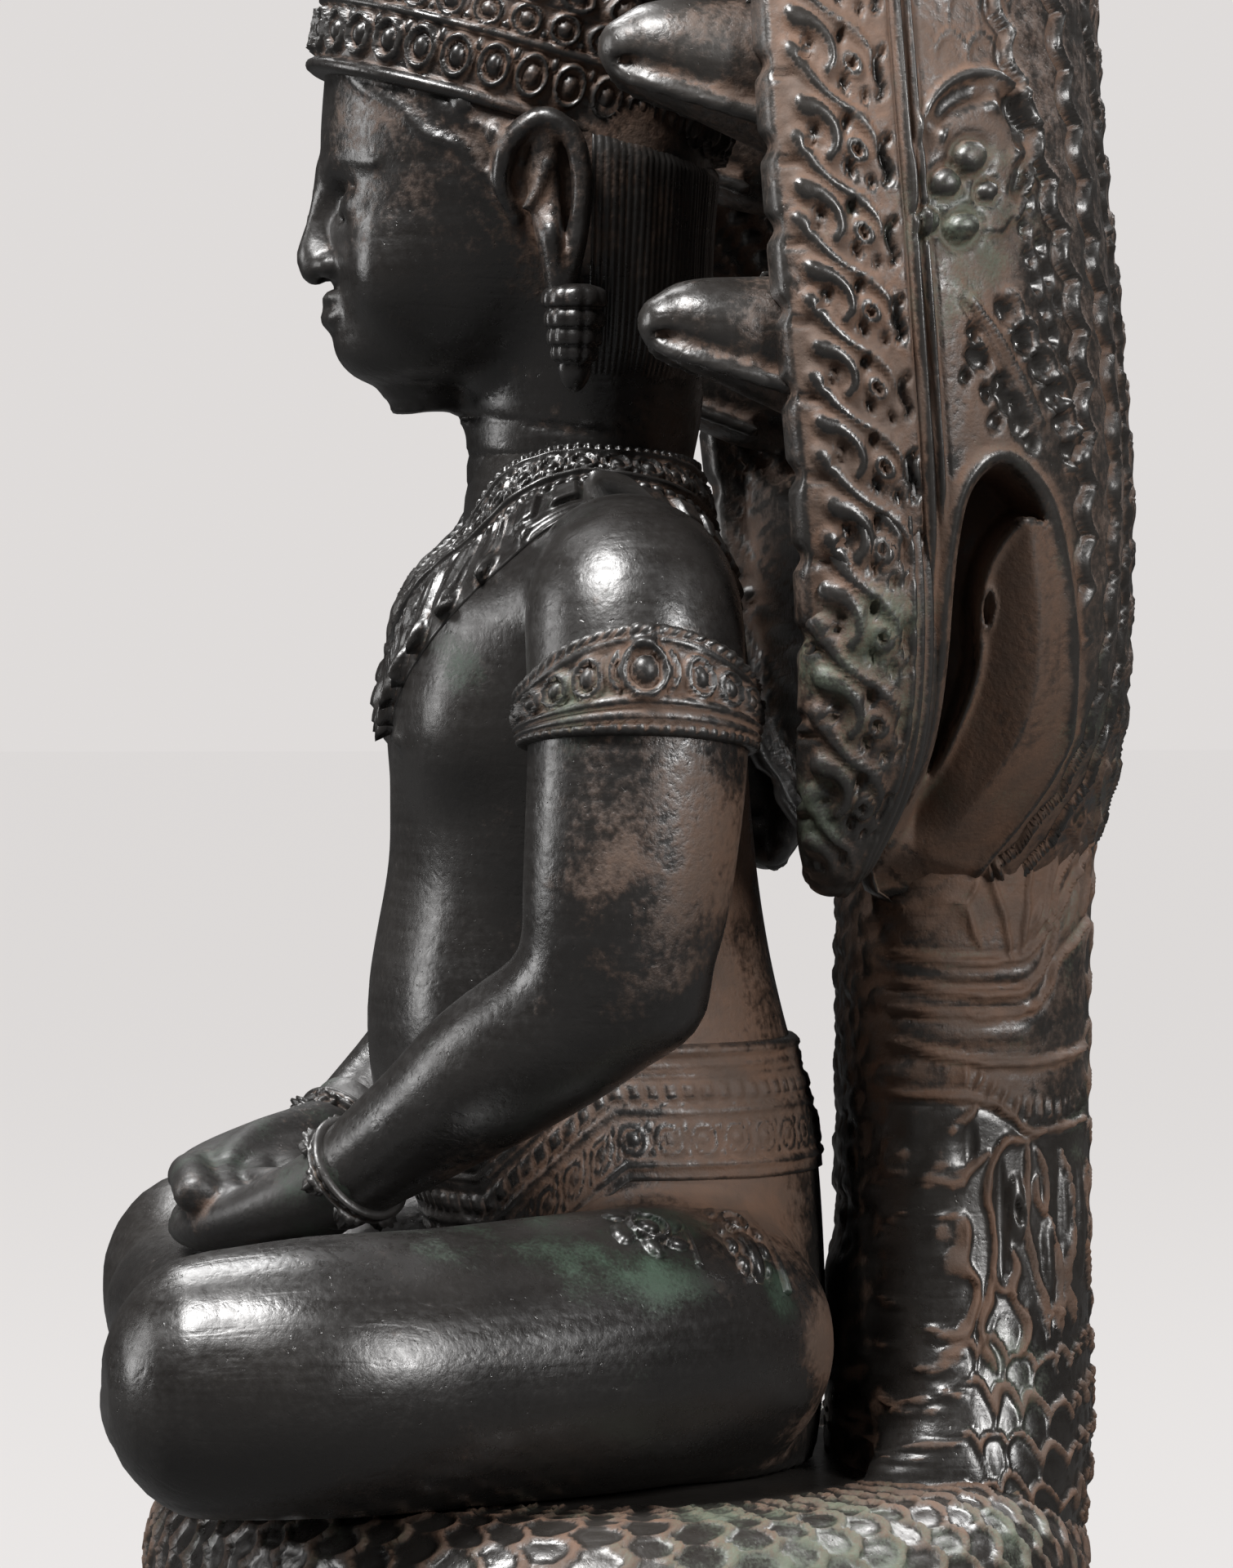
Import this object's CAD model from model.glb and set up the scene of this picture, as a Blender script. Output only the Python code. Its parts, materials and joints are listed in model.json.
import json
import math

import bpy
import numpy as np
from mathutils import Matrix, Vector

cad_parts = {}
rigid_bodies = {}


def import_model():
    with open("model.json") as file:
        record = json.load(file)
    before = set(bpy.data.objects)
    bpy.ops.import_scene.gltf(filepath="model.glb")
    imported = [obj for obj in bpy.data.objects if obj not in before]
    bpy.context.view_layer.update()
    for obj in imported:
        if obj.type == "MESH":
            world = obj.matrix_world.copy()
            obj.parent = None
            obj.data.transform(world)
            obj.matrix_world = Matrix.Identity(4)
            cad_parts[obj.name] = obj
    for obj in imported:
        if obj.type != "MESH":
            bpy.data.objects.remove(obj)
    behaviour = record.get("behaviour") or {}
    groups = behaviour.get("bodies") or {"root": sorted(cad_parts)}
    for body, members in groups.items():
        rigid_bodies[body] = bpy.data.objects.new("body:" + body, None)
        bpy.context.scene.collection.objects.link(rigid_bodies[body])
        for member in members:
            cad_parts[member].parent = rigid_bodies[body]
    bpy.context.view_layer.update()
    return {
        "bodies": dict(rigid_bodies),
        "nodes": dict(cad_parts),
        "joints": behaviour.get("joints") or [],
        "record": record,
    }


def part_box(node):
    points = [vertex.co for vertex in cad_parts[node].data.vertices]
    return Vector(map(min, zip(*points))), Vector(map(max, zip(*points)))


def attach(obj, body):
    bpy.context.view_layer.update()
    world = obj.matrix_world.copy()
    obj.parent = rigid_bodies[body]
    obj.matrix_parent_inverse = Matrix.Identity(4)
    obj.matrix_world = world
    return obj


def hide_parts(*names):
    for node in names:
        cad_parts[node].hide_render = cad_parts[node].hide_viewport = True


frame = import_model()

import openvdb
from mathutils import Vector
from mathutils.bvhtree import BVHTree

# Sizes are in millimetres, counted from the seat that the figure sits on, and turned to metres by place().
# The figure faces -Y, with its left towards +X.

FIGURE_LOW, FIGURE_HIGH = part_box("buddha_figure")
SERPENT_LOW, SERPENT_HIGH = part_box("naga_throne")
SEAT_GAP = 0.3
FIGURE_HEIGHT = 1000 * (FIGURE_HIGH[2] - FIGURE_LOW[2])
SEAT = 1000 * FIGURE_LOW[2] - SEAT_GAP
COIL_HALF_WIDTH = 500 * (SERPENT_HIGH[0] - SERPENT_LOW[0])
COIL_HALF_DEPTH = 92.0
MIDDLE = 1000 * SERPENT_LOW[1] + COIL_HALF_DEPTH
HOOD_TOP = 1000 * SERPENT_HIGH[2] - SEAT
UNIT = FIGURE_HEIGHT / 340.0
FOOT_HEIGHT = 7.0
COIL_COUNT = 3
COIL_HEIGHT = (SEAT - FOOT_HEIGHT) / COIL_COUNT
COIL_STEP_IN = 3.5
NECK_DEPTH = 48.0
BACK_GAP = 3.6
HOOD_HALF_WIDTH = 101.0
FIGURE, SERPENT = "buddha_figure", "naga_throne"


# Curves and meshes

def catmull(points, t):
    """The smooth line through points, at shares t of its length in steps, with the solids' own formula."""
    p = np.asarray(points, float)
    last = len(p) - 1
    x = np.clip(np.atleast_1d(t), 0, 1) * last
    i = np.minimum(x.astype(int), last - 1)
    w = (x - i)[:, None]
    ends = np.vstack([2 * p[0] - p[1], p, 2 * p[-1] - p[-2]])
    p0, p1, p2, p3 = ends[i], ends[i + 1], ends[i + 2], ends[i + 3]
    t0 = (p2 - p0) / 2
    t1 = (p3 - p1) / 2
    return p1 + t0 * w + (3 * (p2 - p1) - 2 * t0 - t1) * w**2 + (2 * (p1 - p2) + t0 + t1) * w**3


def unit_rows(vectors):
    return vectors / np.maximum(np.linalg.norm(vectors, axis=-1, keepdims=True), 1e-9)


def smooth(low, high, x):
    t = np.clip((x - low) / (high - low), 0, 1)
    return t * t * (3 - 2 * t)


def grid_faces(rows, cols, wrap_rows=False, wrap_cols=True):
    r = np.arange(rows if wrap_rows else rows - 1)
    c = np.arange(cols if wrap_cols else cols - 1)
    r, c = np.meshgrid(r, c, indexing="ij")
    r2 = (r + 1) % rows
    c2 = (c + 1) % cols
    return np.stack([r * cols + c, r * cols + c2, r2 * cols + c2, r2 * cols + c], -1).reshape(-1, 4)


def capped(rings):
    """Rings (rows, cols, 3) as a closed mesh: points, quads and the two fans of triangles."""
    rows, cols = rings.shape[:2]
    points = np.vstack([rings.reshape(-1, 3), rings[0].mean(0), rings[-1].mean(0)])
    quads = grid_faces(rows, cols)
    c = np.arange(cols)
    first = np.stack([np.full(cols, rows * cols), (c + 1) % cols, c], -1)
    top = (rows - 1) * cols
    last = np.stack([np.full(cols, rows * cols + 1), top + c, top + (c + 1) % cols], -1)
    return points, quads, np.vstack([first, last])


class Tube:
    """A smooth line through stations [x, y, z, wide, deep], with a rounded section, as in the solids."""

    def __init__(self, stations, side=(1, 0, 0), level=False, square=2.0, scale=None):
        self.stations = np.asarray(stations, float) * (UNIT if scale is None else scale)
        self.side = np.asarray(side, float)
        self.level = level
        self.square = square
        self.length = np.linalg.norm(np.diff(self.stations[:, :3], axis=0), axis=1).sum()

    def frame(self, t):
        t = np.asarray(t, float)
        flat = t.reshape(-1)
        line = self.stations[:, :3]
        centre = catmull(line, flat)
        size = catmull(self.stations[:, 3:], flat)
        if self.level:
            ahead = np.tile([0.0, 0.0, 1.0], (len(flat), 1))
        else:
            ahead = unit_rows(catmull(line, flat + 1e-4) - catmull(line, flat - 1e-4))
        sideways = unit_rows(self.side - ahead * (ahead @ self.side)[:, None])
        other = np.cross(ahead, sideways)
        return [value.reshape(t.shape + (-1,)) for value in (centre, size, ahead, sideways, other)]

    def at(self, t, angle, out=0.0):
        """Points at shares t of the line and angles round it, raised by out. All three can be arrays."""
        t, angle, out = np.broadcast_arrays(t, angle, out)
        centre, size, _, sideways, other = self.frame(t)
        c, q = np.cos(angle), np.sin(angle)
        bulge = (np.abs(c)**self.square + np.abs(q)**self.square)**(-1 / self.square)
        return (centre + sideways * (c * bulge * (size[..., 0] + out))[..., None]
                + other * (q * bulge * (size[..., 1] + out))[..., None])

    def share(self, z):
        """The share of the line at height z, for a line that rises."""
        t = np.linspace(0, 1, 400)
        return np.interp(z, catmull(self.stations[:, 2:3], t)[:, 0], t)


def loft(stations, sides=44, step=1.5, dome=5, **shape):
    """A closed mesh of a tube, with rounded ends."""
    dome_height = 0.85
    tube = Tube(stations, **shape)
    t = np.linspace(0, 1, max(int(tube.length / step), 6))
    angle = 2 * np.pi * (np.arange(sides) + 0.5) / sides
    rings = list(tube.at(t[:, None], angle[None, :]))

    def cap(ring, share, direction):
        middle = ring.mean(0)
        _, size, ahead, _, _ = tube.frame(np.array([share]))
        turns = np.linspace(0, np.pi / 2, dome + 1)[1:-1]
        return [
            middle + (ring - middle) * math.cos(turn)
            + ahead[0] * direction * dome_height * math.sin(turn) * size.min() for turn in turns]

    if dome:
        rings = cap(rings[0], 0, -1)[::-1] + rings + cap(rings[-1], 1, 1)
    return capped(np.array(rings))


def mirrored(mesh):
    points, quads, fans = mesh
    return points * [-1, 1, 1], quads[:, ::-1], fans[:, ::-1]


# Sculpting: forms are merged as signed distances, so that they flow into each other

class Clay:
    def __init__(self, low, high, voxel, band=7):
        self.voxel = voxel
        self.band = band
        self.first = np.floor(np.asarray(low, float) / voxel).astype(int)
        self.shape = np.ceil(np.asarray(high, float) / voxel).astype(int) - self.first
        self.far = band * voxel
        axes = [(self.first[k] + np.arange(self.shape[k])) * voxel for k in range(3)]
        self.x, self.y, self.z = np.meshgrid(*axes, indexing="ij", sparse=True)
        self.field = np.full(self.shape, self.far, np.float32)

    def distance(self, mesh):
        points, quads, fans = mesh
        grid = openvdb.FloatGrid.createLevelSetFromPolygons(
            points.astype(np.float32), triangles=fans.astype(np.uint32), quads=quads.astype(np.uint32),
            transform=openvdb.createLinearTransform(voxelSize=self.voxel), halfWidth=self.band)
        out = np.empty(self.shape, np.float32)
        grid.copyToArray(out, ijk=tuple(int(v) for v in self.first))
        return out

    def ball(self, centre, sizes):
        c = np.asarray(centre, float) * UNIT
        s = np.asarray(sizes, float) * UNIT
        r = np.sqrt(((self.x - c[0]) / s[0])**2 + ((self.y - c[1]) / s[1])**2 + ((self.z - c[2]) / s[2])**2)
        return ((r - 1) * s.min() * np.minimum(1, r + 0.4)).astype(np.float32)

    def add(self, form, blend=0.0, cut=False):
        """A form merged with the clay or, with cut, taken out of it."""
        form = form if isinstance(form, np.ndarray) else self.distance(form)
        self.field = -soft_min(-self.field, form, blend) if cut else soft_min(self.field, form, blend)

    def both_meshes(self, mesh, blend, cut=False):
        for form in (mesh, mirrored(mesh)):
            self.add(form, blend, cut)

    def both_balls(self, centre, sizes, blend, cut=False):
        for side in (1, -1):
            self.add(self.ball((side * centre[0], centre[1], centre[2]), sizes), blend, cut)

    def surface(self):
        grid = openvdb.FloatGrid(self.far)
        grid.transform = openvdb.createLinearTransform(voxelSize=self.voxel)
        grid.copyFromArray(self.field, ijk=tuple(int(v) for v in self.first), tolerance=0.0)
        points, quads = grid.convertToQuads(0.0)
        return np.asarray(points, float), np.asarray(quads, int)


def soft_min(a, b, k):
    if k <= 0:
        return np.minimum(a, b)
    h = np.clip(0.5 + 0.5 * (b - a) / k, 0, 1)
    return b * (1 - h) + a * h - k * h * (1 - h)


# Pieces

def normals_of(points, faces):
    a, b, c = points[faces[:, 0]], points[faces[:, 1]], points[faces[:, 2]]
    face = np.cross(b - a, c - a)
    if faces.shape[1] == 4:
        face = face + np.cross(c - a, points[faces[:, 3]] - a)
    out = np.zeros_like(points)
    for k in range(faces.shape[1]):
        for axis in range(3):
            out[:, axis] += np.bincount(faces[:, k], face[:, axis], len(points))
    return unit_rows(out)


def relax(values, faces, rounds):
    """Values at points, averaged with their neighbours' a number of times."""
    pairs = np.vstack([faces[:, [k, (k + 1) % faces.shape[1]]] for k in range(faces.shape[1])])
    count = np.bincount(pairs.ravel(), minlength=len(values)).astype(float)
    count[count == 0] = 1
    flat = values.reshape(len(values), -1).astype(float)
    for _ in range(rounds):
        total = np.empty_like(flat)
        for axis in range(flat.shape[1]):
            total[:, axis] = (np.bincount(pairs[:, 0], flat[pairs[:, 1], axis], len(flat))
                              + np.bincount(pairs[:, 1], flat[pairs[:, 0], axis], len(flat)))
        flat = 0.5 * flat + 0.5 * total / count[:, None]
    return flat.reshape(values.shape)


def hollowness(points, faces, reach):
    """From 0 on edges to 1 in recesses: how far each point lies below its relaxed neighbourhood."""
    most_rounds, full_depth = 30, 0.5
    edge = np.linalg.norm(points[faces[:, 0]] - points[faces[:, 1]], axis=1).mean()
    rounds = min(max(int((reach / edge)**2), 2), most_rounds)
    depth = ((relax(points, faces, rounds) - points) * normals_of(points, faces)).sum(1)
    return np.clip(0.5 + depth / full_depth, 0, 1)


def place(name, points, faces, material, node, fine=1.2, fans=None, earth=None, polish=None, green=None):
    """A piece of the casting: points in millimetres from the seat, faces and end fans, smooth shaded.
    Earth and green add to the deposits at each point, and polish takes the dirt off it."""
    lift = SEAT + (SEAT_GAP if node == "buddha_figure" else 0)
    spread = points - points.mean(0)
    corners = [spread[faces[:, k]] for k in range(3)]
    if np.einsum("ij,ij->i", corners[0], np.cross(corners[1], corners[2])).sum() < 0:
        faces = faces[:, ::-1]
        fans = None if fans is None else fans[:, ::-1]
    polygons = faces.tolist() + ([] if fans is None else fans.tolist())
    mesh = bpy.data.meshes.new(name)
    mesh.from_pydata(((points + [0, MIDDLE, lift]) / 1000).tolist(), [], polygons)
    mesh.polygons.foreach_set("use_smooth", np.ones(len(polygons), bool))
    for label, values in marks(points, faces, node, fine, earth, polish, green).items():
        mesh.attributes.new(label, "FLOAT", "POINT").data.foreach_set("value", values.astype(np.float32))
    mesh.materials.append(material)
    thing = bpy.data.objects.new(name, mesh)
    bpy.context.scene.collection.objects.link(thing)
    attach(thing, "root")
    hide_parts(node)
    print("piece", name, sum(len(polygon) - 2 for polygon in polygons), flush=True)


def place_closed(name, mesh, material, node, fine=1.0, **marked):
    """A closed mesh of quads with fans at its ends."""
    points, quads, fans = mesh
    place(name, points, quads, material, node, fine, fans, **marked)


def place_ring(name, points, material, fine=0.7):
    """A grid (rows, cols, 3) of the figure's that closes both ways, like the skin of a ring."""
    rows, cols = points.shape[:2]
    place(name, points.reshape(-1, 3), grid_faces(rows, cols, True, True), material, FIGURE, fine)


def sunk(relief, depth):
    """Relief whose first and last rows dive under the skin that the ring lies on."""
    out = relief.copy()
    out[0] = out[-1] = -depth
    return out


# Carving: each function gives a height in millimetres over a surface's own coordinates

def cell(x, pitch, start=0.0):
    """Distance from the middle of the nearest repeat."""
    return (x - start + pitch / 2) % pitch - pitch / 2


def bell(x, centre, half):
    """A smooth bump, 1 at its centre."""
    return np.exp(-((x - centre) / half)**2)


def dome(x):
    """The height of a unit circle at x, 0 beyond it."""
    return np.sqrt(np.clip(1 - x * x, 0, 1))


def fillet(v, centre, half, height):
    return height * dome((v - centre) / half)


def groove(v, centre, half, depth):
    return -depth * bell(v, centre, half)


def from_middle(u, v, wide, tall, turn):
    """How far out of an oval's middle each point lies, 1 on its outline. The oval leans by turn."""
    c, s = math.cos(turn), math.sin(turn)
    return np.hypot((u * c + v * s) / wide, (v * c - u * s) / tall)


def oval(u, v, wide, tall, height, turn=0.0):
    return height * dome(from_middle(u, v, wide, tall, turn))


def pit(u, v, wide, tall, depth, turn=0.0):
    return -depth * smooth(1.15, 0.55, from_middle(u, v, wide, tall, turn))


def framed_oval(u, v, wide, tall, height):
    r = np.hypot(u / wide, v / tall)
    frame = bell(r, 0.84, 0.15)
    boss = dome(r / 0.55)
    return height * np.maximum(frame, 0.9 * boss) * smooth(1.18, 1.0, r)


def leaf(u, v, wide, tall, height, curl=0.0):
    """A pointed leaf from v = 0 to its tip at v = tall, with a midrib and a curled tip."""
    t = np.clip(v / tall, 0, 1)
    half = wide * (0.55 + 0.75 * t - 1.3 * t**2.2) + 1e-6
    u = u - curl * t * t
    inside = (v > 0) & (v < tall) & (np.abs(u) < half)
    x = np.abs(u) / half
    body = np.sqrt(np.clip(1 - x**2.5, 0, 1)) * (0.75 + 0.5 * t) - 0.35 * bell(x, 0.42, 0.16)
    return np.where(inside, height * body, 0)


def scales(a, b, depth, rim=0.085):
    """Fish scales with tips towards -a, one long and one wide each: the relief and the net between them."""
    best = np.full(np.broadcast(a, b).shape, -1.0)
    first = np.floor(a)
    for i in (1, 0, -1):
        row = first + i
        da = a - row - 0.25
        db = (b - 0.5 * (row % 2) + 0.5) % 1 - 0.5
        edge = 0.72 - np.hypot(da * 0.92, db * 1.18)
        best = np.where(edge > 0, edge, best)
    net = bell(best, 0.05, rim)
    return depth * (net - 0.3 + 0.12 * smooth(0.25, 0.6, best)), net


def follow(u, v, line):
    """Distance from a smooth line through points (u, v), below zero on its right, and the way along it."""
    points = catmull(line, np.linspace(0, 1, 5 * len(line)))
    shape = np.broadcast(u, v).shape
    best, signed, way = np.full(shape, 1e9), np.zeros(shape), np.zeros(shape)
    gone = 0.0
    for p, q in zip(points[:-1], points[1:]):
        step = q - p
        length = max(np.hypot(*step), 1e-9)
        t = np.clip(((u - p[0]) * step[0] + (v - p[1]) * step[1]) / length**2, 0, 1)
        away = np.hypot(u - p[0] - t * step[0], v - p[1] - t * step[1])
        side = np.where(step[0] * (v - p[1]) - step[1] * (u - p[0]) < 0, -1, 1)
        nearer = away < best
        best, signed = np.where(nearer, away, best), np.where(nearer, side * away, signed)
        way = np.where(nearer, gone + t * length, way)
        gone += length
    return signed, way


def stroke(u, v, line, half, height):
    """A rib along a line of points (u, v)."""
    return height * bell(follow(u, v, line)[0], 0, half)


# Where deposits lie: [x, y, z, reach, strength], x taken for both sides

EARTH = {
    FIGURE: [
        (44, 24, 58, 25, 1.25), (40, 22, 85, 30, 1.2), (52, 43, 26, 15, 1.4), (50, 40, 6, 15, 1.2),
        (24, -82, 52, 8, 0.5), (32, 24, 115, 28, 1.1), (34, 22, 142, 24, 0.75), (52, -14, 60, 18, 1.0),
        (60, -30, 62, 12, 0.8), (40, -18, 270, 26, 0.7), (72, -8, 86, 18, 0.5), (82, 10, 122, 24, 1.1),
        (86, 0, 146, 15, 0.8), (94, -5, 118, 15, 0.75), (92, 0, 98, 13, 0.6), (30, -48, 258, 26, 0.5),
        (30, 0, 266, 30, 0.8), (34, -14, 240, 15, 0.75), (24, 10, 196, 18, 0.5), (0, -20, 300, 40, 0.9),
        (20, -60, 48, 16, 0.6), (90, -55, 8, 26, 0.3), (20, -84, 6, 26, 0.3),
    ],
    SERPENT: [
        (90, 50, 270, 55, 0.62), (95, 46, 215, 34, 0.62), (92, 40, 165, 30, 0.6), (70, 64, 140, 20, 0.3),
        (50, 72, 122, 26, 0.8), (100, 40, 146, 26, 0.6), (40, 80, 330, 60, 0.5), (50, 60, 92, 22, 0.75),
        (50, 92, 96, 22, 0.6), (60, 90, 200, 50, 0.4), (50, 84, 40, 20, 0.25), (110, 0, -60, 45, 0.3),
        (60, 80, -100, 50, 0.35),
    ],
}
GREEN = {
    FIGURE: [
        (78, -16, 44, 16, 0.95), (82, 2, 40, 14, 1.0), (62, 26, 36, 10, 0.9), (84, -12, 148, 14, 0.7),
        (62, -8, 168, 18, 0.6), (62, 4, 48, 14, 0.8), (40, -34, 158, 20, 0.5), (84, -32, 46, 17, 0.85),
        (70, -16, 92, 12, 0.3), (36, -50, 250, 14, 0.5), (76, -66, 40, 12, 0.4),
    ],
    SERPENT: [
        (95, 60, 240, 22, 0.75), (90, 34, 128, 20, 0.8), (98, 40, 152, 26, 0.7), (115, 30, -14, 46, 0.7),
        (80, 80, 20, 36, 0.7), (95, 60, 195, 18, 0.5), (60, 95, 110, 70, 0.45), (80, -70, -50, 60, 0.4),
        (110, 20, -90, 50, 0.4),
    ],
}


def spots(points, table):
    out = np.zeros(len(points))
    for x, y, z, reach, strength in table:
        away = (np.abs(points[:, 0]) - x)**2 + (points[:, 1] - y)**2 + (points[:, 2] - z)**2
        out = np.maximum(out, strength * np.exp(-away / reach**2))
    return out


def marks(points, faces, node, fine, earth, polish, green):
    """The values per point that the patina reads."""
    def padded(values):
        out = np.zeros(len(points))
        if values is not None:
            out[:values.size] = values.ravel()
        return out

    return {
        "Hollow": hollowness(points, faces, fine),
        "Earth": spots(points, EARTH[node]) + padded(earth),
        "Green": spots(points, GREEN[node]) + padded(green),
        "Polish": padded(polish),
    }


# Patina

def add_node(tree, kind, inputs, output=0, **values):
    """A new node with its inputs linked or set. The socket with its result comes back."""
    made = tree.nodes.new(kind)
    for key, value in values.items():
        setattr(made, key, value)
    for key, value in inputs.items():
        if isinstance(value, bpy.types.NodeSocket):
            tree.links.new(value, made.inputs[key])
        else:
            made.inputs[key].default_value = value
    return made.outputs[output]


def patina(name, black, brown, earth, green, gloss=0.29, earthy=0.0):
    """Dark metal with earth and a green bloom over it, where the marks at each point and noise put them."""
    material = bpy.data.materials.new(name)
    material.use_nodes = True
    tree = material.node_tree
    tree.nodes.clear()
    texture_place = add_node(tree, "ShaderNodeTexCoord", {}, "Object")

    def calculate(operation, *values):
        return add_node(tree, "ShaderNodeMath", dict(enumerate(values)), operation=operation)

    def plus(a, b):
        return calculate("ADD", a, b)

    def less(a, b):
        return calculate("SUBTRACT", a, b)

    def times(a, b):
        return calculate("MULTIPLY", a, b)

    def varied(value, texture, amount):
        """A value that varies with a texture round its middle."""
        return plus(value, times(less(texture, 0.5), amount))

    def ramp(value, low, high):
        inputs = {"Value": value, "From Min": low, "From Max": high}
        return add_node(tree, "ShaderNodeMapRange", inputs, "Result", interpolation_type="SMOOTHSTEP")

    def mix_colour(factor, a, b):
        return add_node(tree, "ShaderNodeMix", {0: factor, 6: a, 7: b}, 2, data_type="RGBA")

    def mix_value(factor, a, b):
        return add_node(tree, "ShaderNodeMix", {0: factor, 2: a, 3: b}, data_type="FLOAT")

    def noise(scale, detail, stretch=None, turn=(0, 0, 0)):
        at = texture_place
        if stretch:
            mapped = {"Vector": at, "Scale": stretch, "Rotation": turn}
            at = add_node(tree, "ShaderNodeMapping", mapped, "Vector")
        inputs = {"Vector": at, "Scale": scale, "Detail": detail, "Roughness": 0.6}
        return add_node(tree, "ShaderNodeTexNoise", inputs, "Fac")

    hollow, earth_zone, green_zone, polish = (
        add_node(tree, "ShaderNodeAttribute", {}, "Fac", attribute_name=label)
        for label in ("Hollow", "Earth", "Green", "Polish"))
    broad, middling, grain, speck = noise(22, 3), noise(95, 5), noise(620, 3), noise(1500, 2)
    streaks = noise(30, 3, (1, 1, 14), (0.5, 0.2, 0.9))

    dirt = calculate("MULTIPLY_ADD", hollow, 0.95, -0.42 + earthy)
    dirt = plus(dirt, times(earth_zone, 0.85))
    dirt = varied(varied(dirt, middling, 1.5), grain, 0.8)
    dirt = times(ramp(less(dirt, polish), 0.25, 0.95), 0.92)

    bloom = plus(times(green_zone, 0.75), times(hollow, 0.25))
    bloom = varied(varied(bloom, noise(60, 6), 1.5), speck, 0.5)
    bloom = times(ramp(bloom, 0.42, 0.95), 0.85)

    worn_metal = (0.05, 0.047, 0.044, 1)
    light_earth = [0.55 * earth[0], 0.62 * earth[1], 0.7 * earth[2], 1]
    worn = ramp(less(plus(0.5, times(grain, 0.25)), hollow), 0.22, 0.62)
    metal = mix_colour(times(worn, 0.35), mix_colour(broad, black, brown), worn_metal)
    earth_tone = mix_colour(ramp(middling, 0.3, 0.7), earth, light_earth)
    colour = mix_colour(bloom, mix_colour(dirt, metal, earth_tone), green)

    smear = times(less(plus(streaks, grain), 1.0), 0.28)
    sheen = plus(plus(smear, gloss), times(ramp(broad, 0.35, 0.75), 0.1))
    sheen = less(sheen, times(polish, 0.06))
    rough = mix_value(bloom, mix_value(dirt, sheen, 0.8), 0.72)
    metallic = mix_value(calculate("MAXIMUM", dirt, bloom), 0.3, 0.0)

    scratches = 0.0
    for turn in ((0.3, 0.9, 0.2), (1.2, 0.1, 0.7), (2.1, 0.6, 1.9)):
        scratches = calculate("MAXIMUM", scratches, ramp(noise(260, 2, (1, 0.035, 1), turn), 0.62, 0.72))
    pits = ramp(noise(820, 2), 0.66, 0.78)
    relief = plus(times(grain, 0.5), times(middling, 0.6))
    relief = less(less(relief, times(scratches, 0.16)), times(pits, 0.3))
    relief = plus(relief, times(times(dirt, noise(900, 5)), 0.9))
    inputs = {"Strength": 0.5, "Distance": 0.00035, "Height": relief}
    bump = add_node(tree, "ShaderNodeBump", inputs, "Normal")
    shader = add_node(tree, "ShaderNodeBsdfPrincipled", {
        "IOR": 1.75, "Base Color": colour, "Roughness": rough, "Metallic": metallic, "Normal": bump})
    out = tree.nodes.new("ShaderNodeOutputMaterial")
    tree.links.new(shader, out.inputs["Surface"])
    return material


NEAR_BLACK = (0.009, 0.009, 0.0095, 1)
DARK_BROWN = (0.026, 0.022, 0.019, 1)
WARM_BROWN = (0.045, 0.038, 0.032, 1)
EARTH_BROWN = (0.128, 0.060, 0.029, 1)
VERDIGRIS = (0.009, 0.034, 0.014, 1)
PALE_VERDIGRIS = (0.075, 0.098, 0.062, 1)
skin_bronze = patina("figure_bronze", NEAR_BLACK, DARK_BROWN, EARTH_BROWN, VERDIGRIS)
hand_bronze = patina("hand_bronze", NEAR_BLACK, DARK_BROWN, EARTH_BROWN, VERDIGRIS, 0.44)
jewel_bronze = patina("jewel_bronze", NEAR_BLACK, DARK_BROWN, EARTH_BROWN, PALE_VERDIGRIS, 0.35, 0.16)
serpent_bronze = patina("serpent_bronze", NEAR_BLACK, WARM_BROWN, EARTH_BROWN, PALE_VERDIGRIS, 0.31, 0.12)


# The figure's forms, in drawn units: the solids' own stations

TORSO = [
    (0, 6, 0, 49, 33), (0, 6, 20, 51, 35), (0, 2, 46, 47, 38.5), (0, -2, 66, 43.5, 40.5), (0, -6, 86, 41, 39),
    (0, -7.5, 102, 41, 37), (0, -8.5, 120, 45, 35.5), (0, -9, 140, 52, 34.5), (0, -7, 156, 58, 32.5),
    (0, -5, 169, 62, 28), (0, -5, 178, 56, 23), (0, -6, 187, 37, 22), (0, -7, 196, 22, 21),
]
NECK = [
    (0, -7, 180, 23, 22), (0, -7, 192, 22.5, 22), (0, -6, 204, 24, 23), (0, -5, 222, 28.5, 23),
    (0, -5, 242, 31, 23), (0, -5, 262, 32, 23),
]
SKULL = [
    (0, -37, 209, 9, 9.5), (0, -33, 212, 16, 17.5), (0, -29, 216.5, 21.5, 23.5), (0, -25, 224, 26.5, 29),
    (0, -22, 233, 30, 33), (0, -20, 244, 32.5, 36.5), (0, -19.5, 256, 33.5, 38), (0, -19, 272, 32.5, 37.5),
]
UPPER_ARM = [
    (54, -3, 174, 14, 16), (67, -1.5, 167, 18, 20), (72, -1, 154, 19.5, 20.5), (75, -1, 138, 18.5, 20.5),
    (77, -2.5, 120, 17.5, 19.8), (77, -4, 105, 16, 18.5), (74.5, -4, 96, 14.5, 16),
]
FOREARM = [
    (76, -3, 98, 14.5, 16), (72, -14, 89, 15, 15.5), (64, -28, 79, 14, 14.5), (55, -39.5, 69.5, 12, 12),
    (46.5, -49.5, 61.5, 9.8, 10), (40, -55.5, 56, 9, 9),
]
THIGH = [
    (40, 14, 26, 27, 26), (62, -6, 26.5, 28, 26.5), (80, -36, 25.5, 28, 26), (91, -60, 25, 28, 26),
    (93, -80, 24, 25, 24.5),
]
SHIN_UNDER = [
    (90, -74, 21, 21, 21), (58, -83, 17, 17.5, 17), (18, -85, 14, 14.5, 14), (-18, -80, 12, 11.5, 11),
    (-40, -72, 12, 10, 10),
]
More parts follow.
